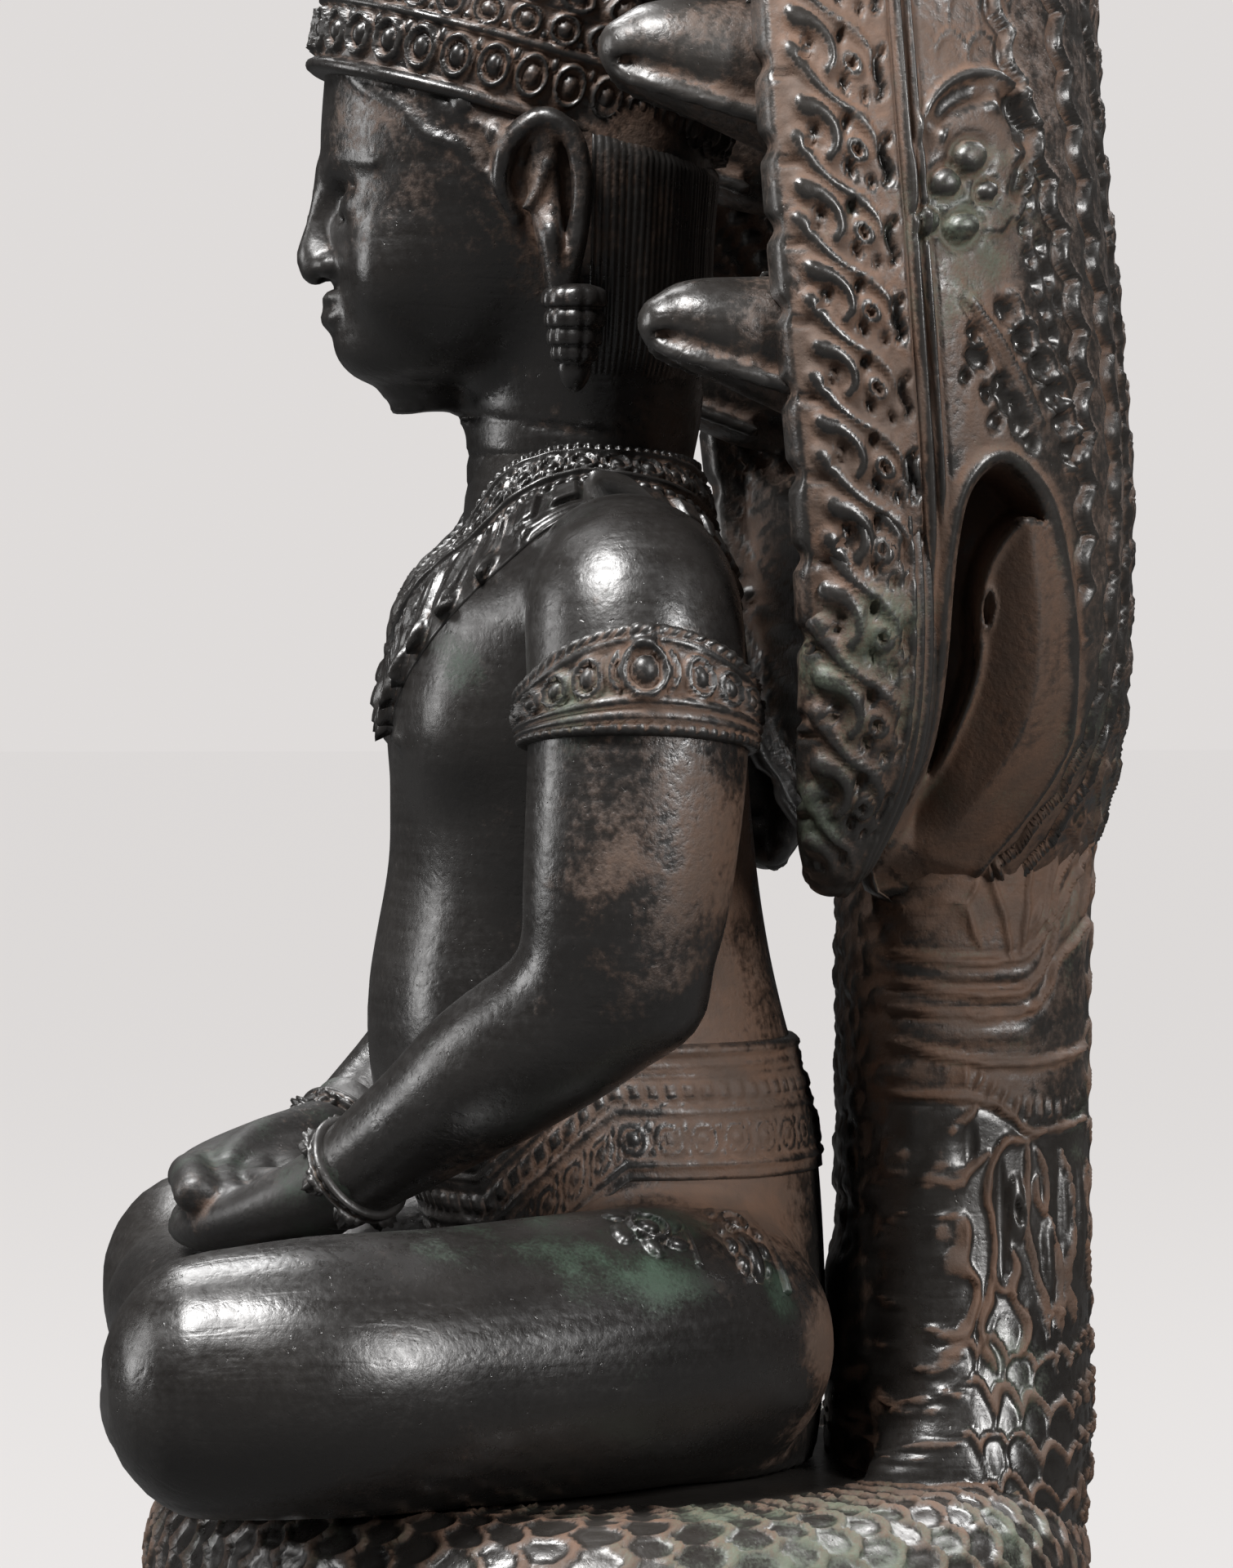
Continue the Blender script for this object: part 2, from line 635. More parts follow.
SHIN_OVER = [
    (-90, -74, 22, 21, 21.5), (-58, -82, 23, 18, 17), (-18, -80, 26, 14.5, 13.5), (18, -72, 29, 11.5, 11),
    (36, -65, 31, 10, 10),
]
FOOT = [(30, -66, 31, 9.5, 10), (44, -57, 34, 9, 12), (57, -50, 37, 6.5, 13.5), (65, -45, 39, 4.5, 13)]
TORSO_SQUARE = 2.25
torso_tube = Tube(TORSO, level=True, square=TORSO_SQUARE)


def make_body():
    clay = Clay((-122, -106, -6), (122, 50, 204), 2.3)
    clay.add(loft(TORSO, level=True, square=TORSO_SQUARE, dome=0, sides=72))
    clay.add(loft([(0, -7, 172, 21, 20), (0, -7, 186, 20.5, 19.5)], level=True, dome=0), 9)
    clay.both_balls((16, -26, 160), (26, 15, 17), 9)
    clay.both_balls((24, -31, 143), (19, 11, 13), 9)
    clay.both_balls((0, -30, 84), (30, 15, 28), 9)
    clay.both_meshes(loft(UPPER_ARM, sides=56), 4)
    clay.both_meshes(loft(FOREARM, sides=48), 5)
    clay.both_meshes(loft(THIGH, side=(0.8, 0.6, 0), sides=64), 7)
    for stations in (SHIN_UNDER, SHIN_OVER):
        clay.add(loft(stations, side=(0, 1, 0), sides=48), 6)
    clay.add(loft(FOOT, side=(0, 0, 1)), 3)
    for toe in range(5):
        size = 3.4 if toe == 0 else 2.8
        clay.add(clay.ball((68 - 1.4 * toe, -55.5 + 6 * toe, 40), (8, size, size + 1)), 1.6)
    clay.both_balls((27, -43.2, 141), (2.2, 2.6, 2.2), 1.2)
    clay.add(clay.ball((0, -45.4, 88), (2.6, 4, 2.2)), 1.5, cut=True)
    clay.field = np.maximum(clay.field, -clay.z)
    return clay.surface()


def make_hands():
    clay = Clay((-56, -100, 26), (56, -34, 82), 0.95)

    def hand(lift, side):
        """The left hand as drawn or, with side -1, the right one, raised by lift."""
        turn = mirrored if side < 0 else (lambda mesh: mesh)
        palm = [
            (46.5, -49.5, 61.5 + 0.1 * lift, 9.6, 9.8), (42, -55, 57 + 0.2 * lift, 8.5, 9),
            (30, -64, 51 + 0.7 * lift, 7.2, 12), (15, -71, 46.5 + lift, 6.2, 14.5),
            (2, -73, 45 + lift, 5.4, 14.5),
        ]
        clay.add(turn(loft(palm, side=(0, 0, 1), step=0.8)), 1.2)
        for i, reach in enumerate((24, 24, 21, 18)):
            y, thick = -82.5 + 6.4 * i, 1.15 if i == 0 else 1.0
            finger = [
                (6, y, 46.0 + lift, 4.1 * thick, 4.1), (-reach / 3, y, 45.2 + lift, 4.0 * thick, 4.0 * thick),
                (-reach * 0.7, y, 45.0 + lift - i, 3.8 * thick, 3.8 * thick),
                (-reach + 1, y + 0.4, 44.4 + lift - 1.4 * i, 4.0 * thick, 3.6 * thick),
            ]
            clay.add(turn(loft(finger, side=(0, 1, 0), step=0.8, sides=28)), 1.6)
            nail = clay.ball((side * (-reach - 2.6), y + 0.4, 50.6 + lift), (3.0, 2.9, 2.2))
            clay.add(nail, 0.5, cut=True)
        thumb = [
            (34, -57, 52 + lift, 6.4, 6), (27, -63, 53.4 + 0.8 * lift, 5.0, 5.0),
            (18, -69, 53.6 + 0.7 * lift, 4.5, 4.4), (8, -73, 52.6 + 0.6 * lift, 4.0, 4.0),
            (-1, -75, 51.2 + 0.6 * lift, 3.3, 3.2),
        ]
        clay.add(turn(loft(thumb, side=(0, 1, 0), step=0.8, sides=28)), 2.2)

    hand(0, 1)
    hand(9, -1)
    return clay.surface()


def make_head():
    clay = Clay((-44, -66, 183), (44, 26, 277), 1.0)
    clay.add(loft(SKULL, level=True, square=2.1, sides=80, dome=2))
    clay.add(loft(NECK, level=True, dome=0, sides=72), 6)
    front, brow, eye, nose, mouth = -56.5, 251, 244, 231, 224

    def rib(stations, blend, cut=False):
        clay.both_meshes(loft(stations, side=(0, 1, 0), sides=20, step=0.8, dome=3), blend, cut)

    def face_rib(height, blend, line, cut=False):
        """A rib with its points [x, y, z, wide, deep] counted from the face's front and from a height."""
        rib([(x, front + y, height + z, wide, deep) for x, y, z, wide, deep in line], blend, cut)

    clay.both_balls((16, -43, 232), (10, 9, 12), 6)
    clay.both_balls((12.5, -55.8, 244.4), (8.6, 4.2, 4.4), 3, cut=True)
    clay.both_balls((12.6, -48.6, 243.4), (7.6, 5.6, 4.2), 1.6)
    clay.add(loft([
        (0, front - 0.5, nose + 0.5, 3.6, 4.2), (0, front - 1.0, nose + 4, 3.4, 4.6),
        (0, front + 0.2, eye - 2, 2.4, 3.8), (0, front + 0.9, brow, 3, 2.6),
    ], level=True, sides=28, step=0.8), 2.8)
    clay.add(clay.ball((0, front - 1.7, nose + 1.9), (3.5, 2.7, 2.9)), 2.6)
    clay.both_balls((4.4, front + 1.4, nose + 1.3), (2.7, 3.4, 2.3), 1.4)
    clay.both_balls((2.3, front - 0.2, nose - 1.5), (1.1, 1.5, 0.9), 0.6, cut=True)
    upper_lip = [(0.5, 0.6, 1.7, 1.6, 1.5), (4.5, 1.8, 2.2, 1.6, 1.4), (10, 6.4, 0.9, 0.7, 0.6)]
    lower_lip = [(0, 1.0, -1.6, 2.0, 1.8), (4.5, 2.2, -1.3, 1.8, 1.6), (9, 5.9, 0.3, 0.7, 0.6)]
    face_rib(mouth, 1.0, upper_lip)
    face_rib(mouth, 1.0, lower_lip)
    clay.add(clay.ball((0, front + 1.2, nose - 3.2), (1.0, 2.0, 1.6)), 1.6, cut=True)
    clay.add(clay.ball((0, front + 8.5, 217.5), (9, 6.4, 5.6)), 5)
    lid = [(5.5, 4.2, -1.6, 0.8, 0.7), (12.5, 3.0, -1.9, 0.9, 0.8), (21, 8.4, 0.4, 0.7, 0.6)]
    slit = [(6.2, 3.9, -2.9, 0.4, 0.35), (13, 3.4, -3.1, 0.45, 0.4), (20, 8.8, -0.9, 0.4, 0.35)]
    fold = [(4.5, 4.3, 1.6, 0.35, 0.35), (12.5, 2.8, 3.3, 0.4, 0.35), (22, 9.2, 2.2, 0.35, 0.35)]
    eyebrow = [(3.6, 1.6, -1.8, 1.1, 0.9), (12, 2.2, 1.6, 1.2, 0.9), (23.5, 9.0, 0.4, 0.8, 0.7)]
    face_rib(eye, 0.7, lid)
    face_rib(eye, 0.5, slit, cut=True)
    face_rib(eye, 0.5, fold, cut=True)
    face_rib(brow, 1.8, eyebrow)

    def on_skull(y, z, out=0.0):
        z_line = [row[2] for row in SKULL]
        middle, wide, deep = (np.interp(z, z_line, [row[k] for row in SKULL]) for k in (1, 3, 4))
        return (wide * math.sqrt(max(1 - ((y - middle) / deep)**2, 0.02)) + out, y, z)

    hairline = [(-53, 270), (-49, 265.5), (-43, 262), (-38, 256.5), (-32, 254), (-28, 249), (-23, 246.5)]
    rib([on_skull(y, z) + (1.5, 1.1) for y, z in hairline], 0.8)
    rib([on_skull(y + 4.6, z + 3.4, 0.2) + (1.0, 0.8) for y, z in hairline[1:]], 0.7)
    for i, (y, z) in enumerate(((-38, 266), (-31, 262), (-25, 256))):
        clay.both_balls(on_skull(y, z, 0.4), (1.6, 2.6 - 0.3 * i, 2.4), 0.6)
    rib([
        (31.5, -21, 240, 1.5, 1.9), (33.5, -24, 247, 1.9, 2.2), (35, -22, 255, 2.2, 2.5),
        (36.4, -16, 259, 2.3, 2.6), (37, -10.5, 255, 2.2, 2.4), (37, -8.8, 246, 2.1, 2.3),
        (36.4, -9.8, 236, 2.1, 2.4), (35.2, -12.5, 225, 2.3, 3.0),
    ], 0.7)
    rib([
        (32.5, -16, 255, 3.2, 5.4), (34, -15.8, 244, 3.0, 6.0), (34.6, -14, 232, 2.6, 4.6),
        (34.6, -13, 224, 2.2, 3.2),
    ], 0.9)
    clay.both_balls((40.6, -16.4, 247.5), (4.6, 4.8, 9.5), 2.0, cut=True)
    rib([(36.0, -19.6, 242.0, 0.8, 1.3), (36.2, -17.2, 245.6, 0.7, 1.3), (36.4, -15.4, 250.5, 0.7, 1.2)], 1.6)
    for height in (203.0, 195.5, 188.5):
        crease = 0.75 * bell(clay.z - height + 0.16 * (clay.y + 28), 0, 0.75) * smooth(4, -8, clay.y)
        clay.field += crease.astype(np.float32)
    return clay.surface()


body_points, body_faces = make_body()
place("figure_body", body_points, body_faces, skin_bronze, FIGURE)
hand_points, hand_faces = make_hands()
place("figure_hands", hand_points, hand_faces, hand_bronze, FIGURE, green=np.full(len(hand_points), 0.42))
head_points, head_faces = make_head()
place("figure_head", head_points, head_faces, skin_bronze, FIGURE, 0.9)


# The serpent: heights from the seat, in millimetres

NECK_FRONT = max(row[1] + row[4] for row in TORSO) * UNIT + BACK_GAP
# The neck: [z, half the width, how much deeper than NECK_DEPTH]
NECK_LINE = [
    (-34, 48, -6), (-16, 55, -2.5), (4, 55, 0), (30, 46, 0), (60, 42, 0), (95, 42, 0), (130, 45, 1),
    (165, 46, 0), (195, 40, -4),
]
HOOD_FOOT = 112
# The hood: [share of its height, share of its half width, and how far behind the neck's front its edge,
# its rear and its inner face lie]
HOOD_ROWS = [
    (0.00, 0.39, 5, 46, 8), (0.05, 0.58, -5, 51.5, 9), (0.11, 0.80, -12, 54, 12), (0.18, 0.91, -14, 54.5, 16),
    (0.28, 0.98, -16, 54.5, 20), (0.40, 1.01, -19.5, 52, 24), (0.53, 0.98, -22, 48.5, 27),
    (0.65, 0.89, -23, 47, 26), (0.75, 0.76, -24, 44.5, 24), (0.84, 0.57, -25, 40, 21),
    (0.92, 0.34, -26.5, 33, 14), (1.00, 0.05, -29, 23, 2),
]
# The paired heads: [share of the hood's half width, height, how far before the neck's front, size]
HEADS = [(0.83, 219, 22, 0.9), (0.74, 270, 26, 1.0), (0.47, 320, 28, 1.0)]
SCALE_LENGTH = 8.2


def carved(points, relief, wrap_cols=True):
    """A grid raised by relief along its own normals."""
    flat = points.reshape(-1, 3)
    normal = normals_of(flat, grid_faces(*points.shape[:2], wrap_cols=wrap_cols))
    if ((flat - flat.mean(0)) * normal).sum() < 0:
        normal = -normal
    return (flat + normal * relief.reshape(-1, 1)).reshape(points.shape)


def along(points, axis):
    """Distance in millimetres along the grid's rows (axis 0) or columns (axis 1)."""
    steps = np.linalg.norm(np.diff(points, axis=axis), axis=-1)
    start = np.zeros(points.shape[:2][:axis] + (1,) + points.shape[:2][axis + 1:])
    return np.concatenate([start, np.cumsum(steps, axis=axis)], axis=axis)


def even_angles(count, wide, deep, first, last):
    """Angles that part an oval into steps of equal length."""
    fine = np.linspace(first, last, 4000)
    steps = np.hypot(np.diff(wide * np.cos(fine)), np.diff(deep * np.sin(fine)))
    way = np.concatenate([[0], np.cumsum(steps)])
    return np.interp(np.linspace(0, way[-1], count), way, fine)


def ring_way(ring):
    """How far round a closed ring each of its points lies, with the whole way round at the end."""
    steps = np.linalg.norm(np.diff(np.vstack([ring, ring[:1]]), axis=0), axis=1)
    return np.concatenate([[0], np.cumsum(steps)])


def oval_rings(inset, theta, z):
    """Rings at heights z, each smaller than the coils' outline by its inset."""
    x = (COIL_HALF_WIDTH - inset)[:, None] * np.cos(theta)
    y = (COIL_HALF_DEPTH - inset)[:, None] * np.sin(theta)
    return np.stack([x, y, np.broadcast_to(z[:, None], x.shape)], -1)


def coil_points(number, around, rows, top):
    """The coil's rounded side in rows; the top coil's rows go on inward under the figure."""
    rise = 0.44 * math.pi
    share = np.linspace(0, 1, rows)
    angles = -rise + (1 - (1 - share)**1.3) * (0.5 * math.pi + rise) if top else rise * (2 * share - 1)
    z = -COIL_HEIGHT * (number + 0.5) + (COIL_HEIGHT / 2) * np.minimum(np.sin(angles) / math.sin(rise), 1)
    inset = number * COIL_STEP_IN + (COIL_HEIGHT / 2) * (1 - np.cos(angles))
    if top:
        hidden, middle = 42, COIL_HALF_DEPTH - 12
        inside = np.concatenate([np.linspace(inset[-1], hidden, 20)[1:], np.linspace(hidden, middle, 4)[1:]])
        z = np.concatenate([z, np.full(len(inside), -0.05)])
        inset = np.concatenate([inset, inside])
    near = int(0.6 * around)
    theta = np.concatenate([
        even_angles(near + 1, COIL_HALF_WIDTH, COIL_HALF_DEPTH, -0.5 * np.pi, 0.5 * np.pi)[:-1],
        even_angles(around - near + 1, COIL_HALF_WIDTH, COIL_HALF_DEPTH, 0.5 * np.pi, 1.5 * np.pi)[:-1]])
    return oval_rings(inset, theta, z)


def coil(number, around, rows, top=False):
    """A coil of the serpent: a closed mesh, and its net of raised scale rims."""
    points = coil_points(number, around, rows, top)
    up = along(points, 0)
    way = ring_way(points[0])
    count = round(way[-1] / SCALE_LENGTH / 2) * 2
    a = np.broadcast_to(way[:-1] / way[-1] * count, up.shape)
    wave = 0.16 * np.sin(a * 2 * np.pi / 7 + number) + 0.10 * np.sin(a * 2 * np.pi / 3.1 + up * 0.2)
    relief, net = scales(a + 0.6 * wave, up / (SCALE_LENGTH * 0.84) + wave, 1.15, 0.13)
    worn = 0.75 + 0.25 * smooth(-0.9, -0.1, np.sin(a * 2 * np.pi / count * 3 + number * 2.1))
    edge = smooth(0, 3, up) * (smooth(80, 74, up) if top else smooth(0, 3, up[-1:] - up))
    points = carved(points, relief * worn * edge)
    net = net * edge
    low, high = points[:1] * [0.86, 0.86, 1], points[-1:] * [0.86, 0.86, 1]
    rings = [low, points] if top else [low, points, high]
    return capped(np.vstack(rings)), np.vstack([net[:1] * 0, net])


def foot():
    """The low foot: rings at [height from its sole, inset]."""
    z, inset = np.array([
        (0, 1.2), (0.8, 0), (FOOT_HEIGHT - 1.2, 0), (FOOT_HEIGHT, 1.5), (FOOT_HEIGHT + 4, 14)]).T
    theta = np.linspace(0, 2 * np.pi, 241)[:-1]
    return capped(oval_rings(COIL_COUNT * COIL_STEP_IN + 2 + inset, theta, z - SEAT))


def neck_angles():
    """Angles round the neck: fine on the left, coarser on the right and the back, coarse at the figure."""
    front, side, near, far = 0.5 * np.pi, 0.06 * np.pi, 0.34 * np.pi, 0.66 * np.pi
    stops = [
        (-front, 16), (-side, 80), (near, 26), (front, 26), (far, 46), (np.pi + side, 16), (1.5 * np.pi, 0)]
    return np.concatenate([
        np.linspace(first, last, count + 1)[:-1] for (first, count), (last, _) in zip(stops[:-1], stops[1:])])


def rib(u, v, line, half, height):
    """An uneven rib, thin at its ends, along a line of points (u, v): its relief and the dirt it holds."""
    away, way = follow(u + 0.3 * lumps(u, v, 7), v + 0.3 * lumps(v, u, 6), line)
    width = half * (0.5 + 0.5 * smooth(0, 3, way) * smooth(0, 3, way.max() - way))
    width = width * (1 + 0.2 * np.sin(way / 1.7 + line[0][0]))
    return height * (0.6 + 0.4 * width / half) * bell(away, 0, width), bell(away, 0, 1.1 * width)


# Ribs on the neck: lines of [y, z]
NECK_BANDS = [
    [(44, 100.5), (55, 99.6), (66, 98.7), (76, 99.3), (82, 102.6), (86, 108), (88, 115), (104, 130)],
    [(44, 94.6), (52, 94.4), (66, 92.4), (76, 92.9), (83, 96.6), (86.4, 102), (90, 110), (104, 122)],
    [(44, 90.2), (58, 88.9), (70, 88.2), (80, 89.6), (85, 92.6), (90, 99), (112, 108)],
    [(44, 84), (56, 81.7), (66, 79.4), (76, 78.8), (87, 79.2), (112, 82)],
    [(38, 73.2), (52, 73), (62, 72.6), (69, 71.7), (75, 68.4), (80, 65.4), (87, 66), (112, 68)],
]
NECK_FRINGE = [(58, 78.8), (66, 78.2), (72, 75), (77, 72.6), (87, 71.6), (112, 74)]
NECK_SCROLLS = [
    [(41.7, 55.1), (47.6, 58.6), (52.4, 63.5), (53.9, 70)], [(40.3, 46), (47, 48.8), (53, 50.6)],
    [(49, 55.4), (50, 51.6)], [(51.2, 38.4), (50.4, 34), (47.4, 32), (44.4, 33.6)],
    [(42.6, 21), (47.6, 25.6)], [(46.7, 18.3), (49.6, 15), (52.1, 12.9)],
    [(66.4, 70.4), (61.6, 66), (60, 60.4), (56.2, 55.1), (60.6, 56.7), (62.8, 53.6)],
    [(59, 49.2), (60.8, 43.8), (62.8, 39.8), (66, 37.2), (65.4, 31), (62.8, 26), (59.4, 21.6), (55.4, 21),
     (54.2, 25)],
    [(57.6, 28.6), (60.8, 27), (64.4, 28.6)], [(59, 49.2), (62.6, 50.6), (64.4, 47), (64, 42), (66, 37.2)],
    [(79.4, 63.8), (73.4, 64.2), (69.6, 60.4), (68.5, 53.8), (69.9, 47.4), (69.4, 39.4), (68.2, 33), (67, 27),
     (69.6, 21)],
    [(62.6, 53.8), (65, 58.6), (68.6, 61.6)], [(78.3, 63), (77.9, 54), (77.4, 45.4), (79.6, 37), (82.4, 30)],
    [(73.4, 43.2), (74.2, 39.4), (73, 34.8), (76.4, 29), (74, 23)], [(73, 34.8), (70.6, 36.2), (69.6, 39.4)],
    [(81.6, 62.6), (83.8, 56), (82.8, 50.6), (80.6, 52.6), (81.2, 57)],
    [(84, 49.6), (86.8, 42), (87.6, 35.6), (84.6, 28)], [(90, 62), (93, 50), (90, 38), (94, 30)],
    [(104, 60), (102, 46), (106, 34)],
]
NECK_TWIGS = [
    [(48.9, 103.3), (53.9, 112), (59.4, 117.2), (64.9, 120.1), (68.3, 118.3), (69.6, 112.9), (72.1, 105.6),
     (73, 99.4)],
    [(53.9, 102.9), (56.9, 107.6), (61.4, 111), (64.7, 108.3), (66.9, 101.6)],
    [(69.6, 127.4), (73.9, 122.9), (76.7, 117.4), (77.3, 110.1), (76.4, 100)],
    [(83, 127), (84.9, 121), (85, 115.6), (83.7, 109.2), (80, 103)], [(66.4, 113.8), (64, 109.7)],
    [(81.6, 110), (80, 106.6), (78.6, 104.4)], [(46.2, 111.6), (51.2, 106.3)], [(84, 104.6), (82.6, 107.4)],
    [(92, 104), (96, 112), (94, 122)], [(100, 106), (104, 116), (101, 126)],
]
# Swellings and dents on the neck: [y, z, half width, half height, height]
NECK_SWELLINGS = [
    (75.0, 51.4, 2.3, 6.6, 1.4), (83.6, 42, 2.0, 7.5, 1.2), (46.6, 61, 2.6, 3.2, 1.2),
    (71.4, 49, 1.5, 12, -1.3), (65.2, 63.4, 1.6, 4.6, -1.0), (62.4, 45.6, 1.2, 3.0, -0.9),
    (91, 48, 2.2, 12, 1.3), (99.5, 48, 2.4, 12, 1.2),
]


def neck_carving(y, z):
    """Height on the neck and the lines that hold its dirt: scales low and behind, ribs and bands above."""
    uneven = lumps(y, z, 13)
    depth, net = scales(z / 8.4 + 0.22 * np.sin(y / 6) + 0.16 * uneven,
                        y / 5.8 + 0.2 * np.sin(z / 9) - 0.13 * uneven, 1.2)
    low = smooth(36, 28, z + 3 * np.sin(y / 5) + 14 * smooth(66, 56, y))
    relief, lines = low * depth, low * net
    for line in NECK_BANDS:
        height, dirt = rib(y, z, line, 0.6, 1.3)
        away, _ = follow(y, z, line)
        beside = 0.45 * bell(away, -1.3, 0.8) + 0.3 * bell(away, 1.3, 0.8)
        relief += smooth(41, 47, y) * height - beside
        lines += dirt
    sag = 0.0008 * (y - 70)**2 * (y < 82)
    for centre, half in ((97.0, 2.4), (91.5, 2.0), (85.3, 2.6)):
        relief += fillet(z + sag, centre, half, 1.0) * smooth(44, 48, y) * smooth(84, 78, y)
    above, way = follow(y, z, NECK_FRINGE)
    teeth = leaf(cell(way, 3.3), -above, 1.0, 4.2, 1.0) * (y > 62)
    relief += teeth
    lines += 0.5 * (teeth > 0.1)
    for at in (43.3, 47.6, 51.6):
        ring = np.hypot((y - at) / 1.9, (z - 77.3) / 1.9)
        relief += bell(ring, 0.85, 0.3) * (z > 76)
    for table, half, tall, dirty in ((NECK_SCROLLS, 0.68, 1.4, 1.0), (NECK_TWIGS, 0.72, 1.05, 0.8)):
        for line in table:
            height, dirt = rib(y, z, line, half, tall)
            relief += height
            lines += dirty * dirt
    for at_y, at_z, wide, tall, height in NECK_SWELLINGS:
        relief += oval(y - at_y, z - at_z, wide, tall, height)
    relief += pit(y - 75.0, z - 50.6, 1.1, 2.4, 2.2, 0.15)
    relief += smooth(50, 43, y) * smooth(-12, 5, z) * 0.7 * lumps(y, z, 6.5)
    grime = 0.2 * smooth(66, 75, z + lumps(y, z, 11))
    lines = np.maximum(lines, grime + 0.25 * smooth(53, 46, y) * (0.6 + 0.4 * lumps(y, z, 9)))
    back, back_net = scales(z / 9.5, y / 8.4, 0.8)
    over = smooth(104, 108, y) * smooth(32, 40, z)
    return relief * (1 - over) + over * back, lines * (1 - over) + over * back_net


def neck():
    """The serpent's neck: a closed mesh, its lines that hold dirt, and its polished fields."""
    depths = [(NECK_DEPTH + deeper) / 2 for _, _, deeper in NECK_LINE]
    stations = [(0, NECK_FRONT + deep, z, wide, deep) for (z, wide, _), deep in zip(NECK_LINE, depths)]
    tube = Tube(stations, level=True, square=3)
    heights = np.concatenate([np.arange(-26, 135, 0.75), np.arange(135, 196, 2.5)])
    points = tube.at(tube.share(heights)[:, None], neck_angles())
    x, y, z = (points[..., k] for k in range(3))
    x *= 1 - 0.2 * np.clip((y - 54) / 34, 0, 1.1)**2
    corner = smooth(36, 50, np.abs(x)) * smooth(NECK_FRONT + 26, NECK_FRONT + 2, y)
    y -= 11 * corner * smooth(20, -4, z)**1.5
    bulge = bell(x, 0, 22) * smooth(44, 34, z) * smooth(NECK_FRONT + 12, NECK_FRONT + 3, y)
    y -= 2.9 * bulge
    level = np.broadcast_to(heights[:, None], x.shape)
    aside = y + np.maximum(40 - np.abs(x), 0) * np.where(y > NECK_FRONT + 24, 0.85, -1.1)
    relief, lines = neck_carving(aside, level)
    relief *= smooth(-26, -20, level) * (1 - bulge)
    fields = 0.75 * smooth(76, 66, level) + 0.45 * smooth(76, 82, level) * smooth(106, 98, level)
    polished = smooth(0.5, 0.1, lines) * smooth(43, 48, aside) * fields
    return capped(carved(points, relief)), 1.05 * np.clip(lines, 0, 1), polished


def lumps(u, v, size):
    """Uneven bumps of about the given size, from -1 to 1."""
    out = 0.0
    for k in range(6):
        turn, rate = 0.4 + 1.13 * k, 2 * np.pi / size * (0.7 + 0.14 * k)
        out = out + np.sin(rate * (u * np.cos(turn) + v * np.sin(turn)) + 1.7 * k)
    return np.clip(0.3 * out, -1, 1)


CURL_PITCH = 15.0
FRONT_BAND = 23.0
# The tear-drop hollow at each side of the hood's foot, and the leaf in it: lines of [y, z] that go up the
# front and down the back
HOLLOW = [
    (28, 104), (43.5, 117.8), (50, 128.2), (53.8, 139), (55.4, 154.3), (56.2, 172), (58, 185), (61.2, 191),
    (64.8, 192.8), (68.6, 190.6), (73, 185), (76.4, 174), (78.6, 162), (79.4, 150), (79.2, 130), (79, 104),
]
LEAF = [
    (30, 90), (46, 118), (53.3, 132), (57, 139), (60.8, 150), (62.2, 158), (61.6, 165), (62.8, 173),
    (65.8, 179.6), (70, 183.4), (75, 181), (79, 174), (82, 162), (83, 148), (85, 90),
]


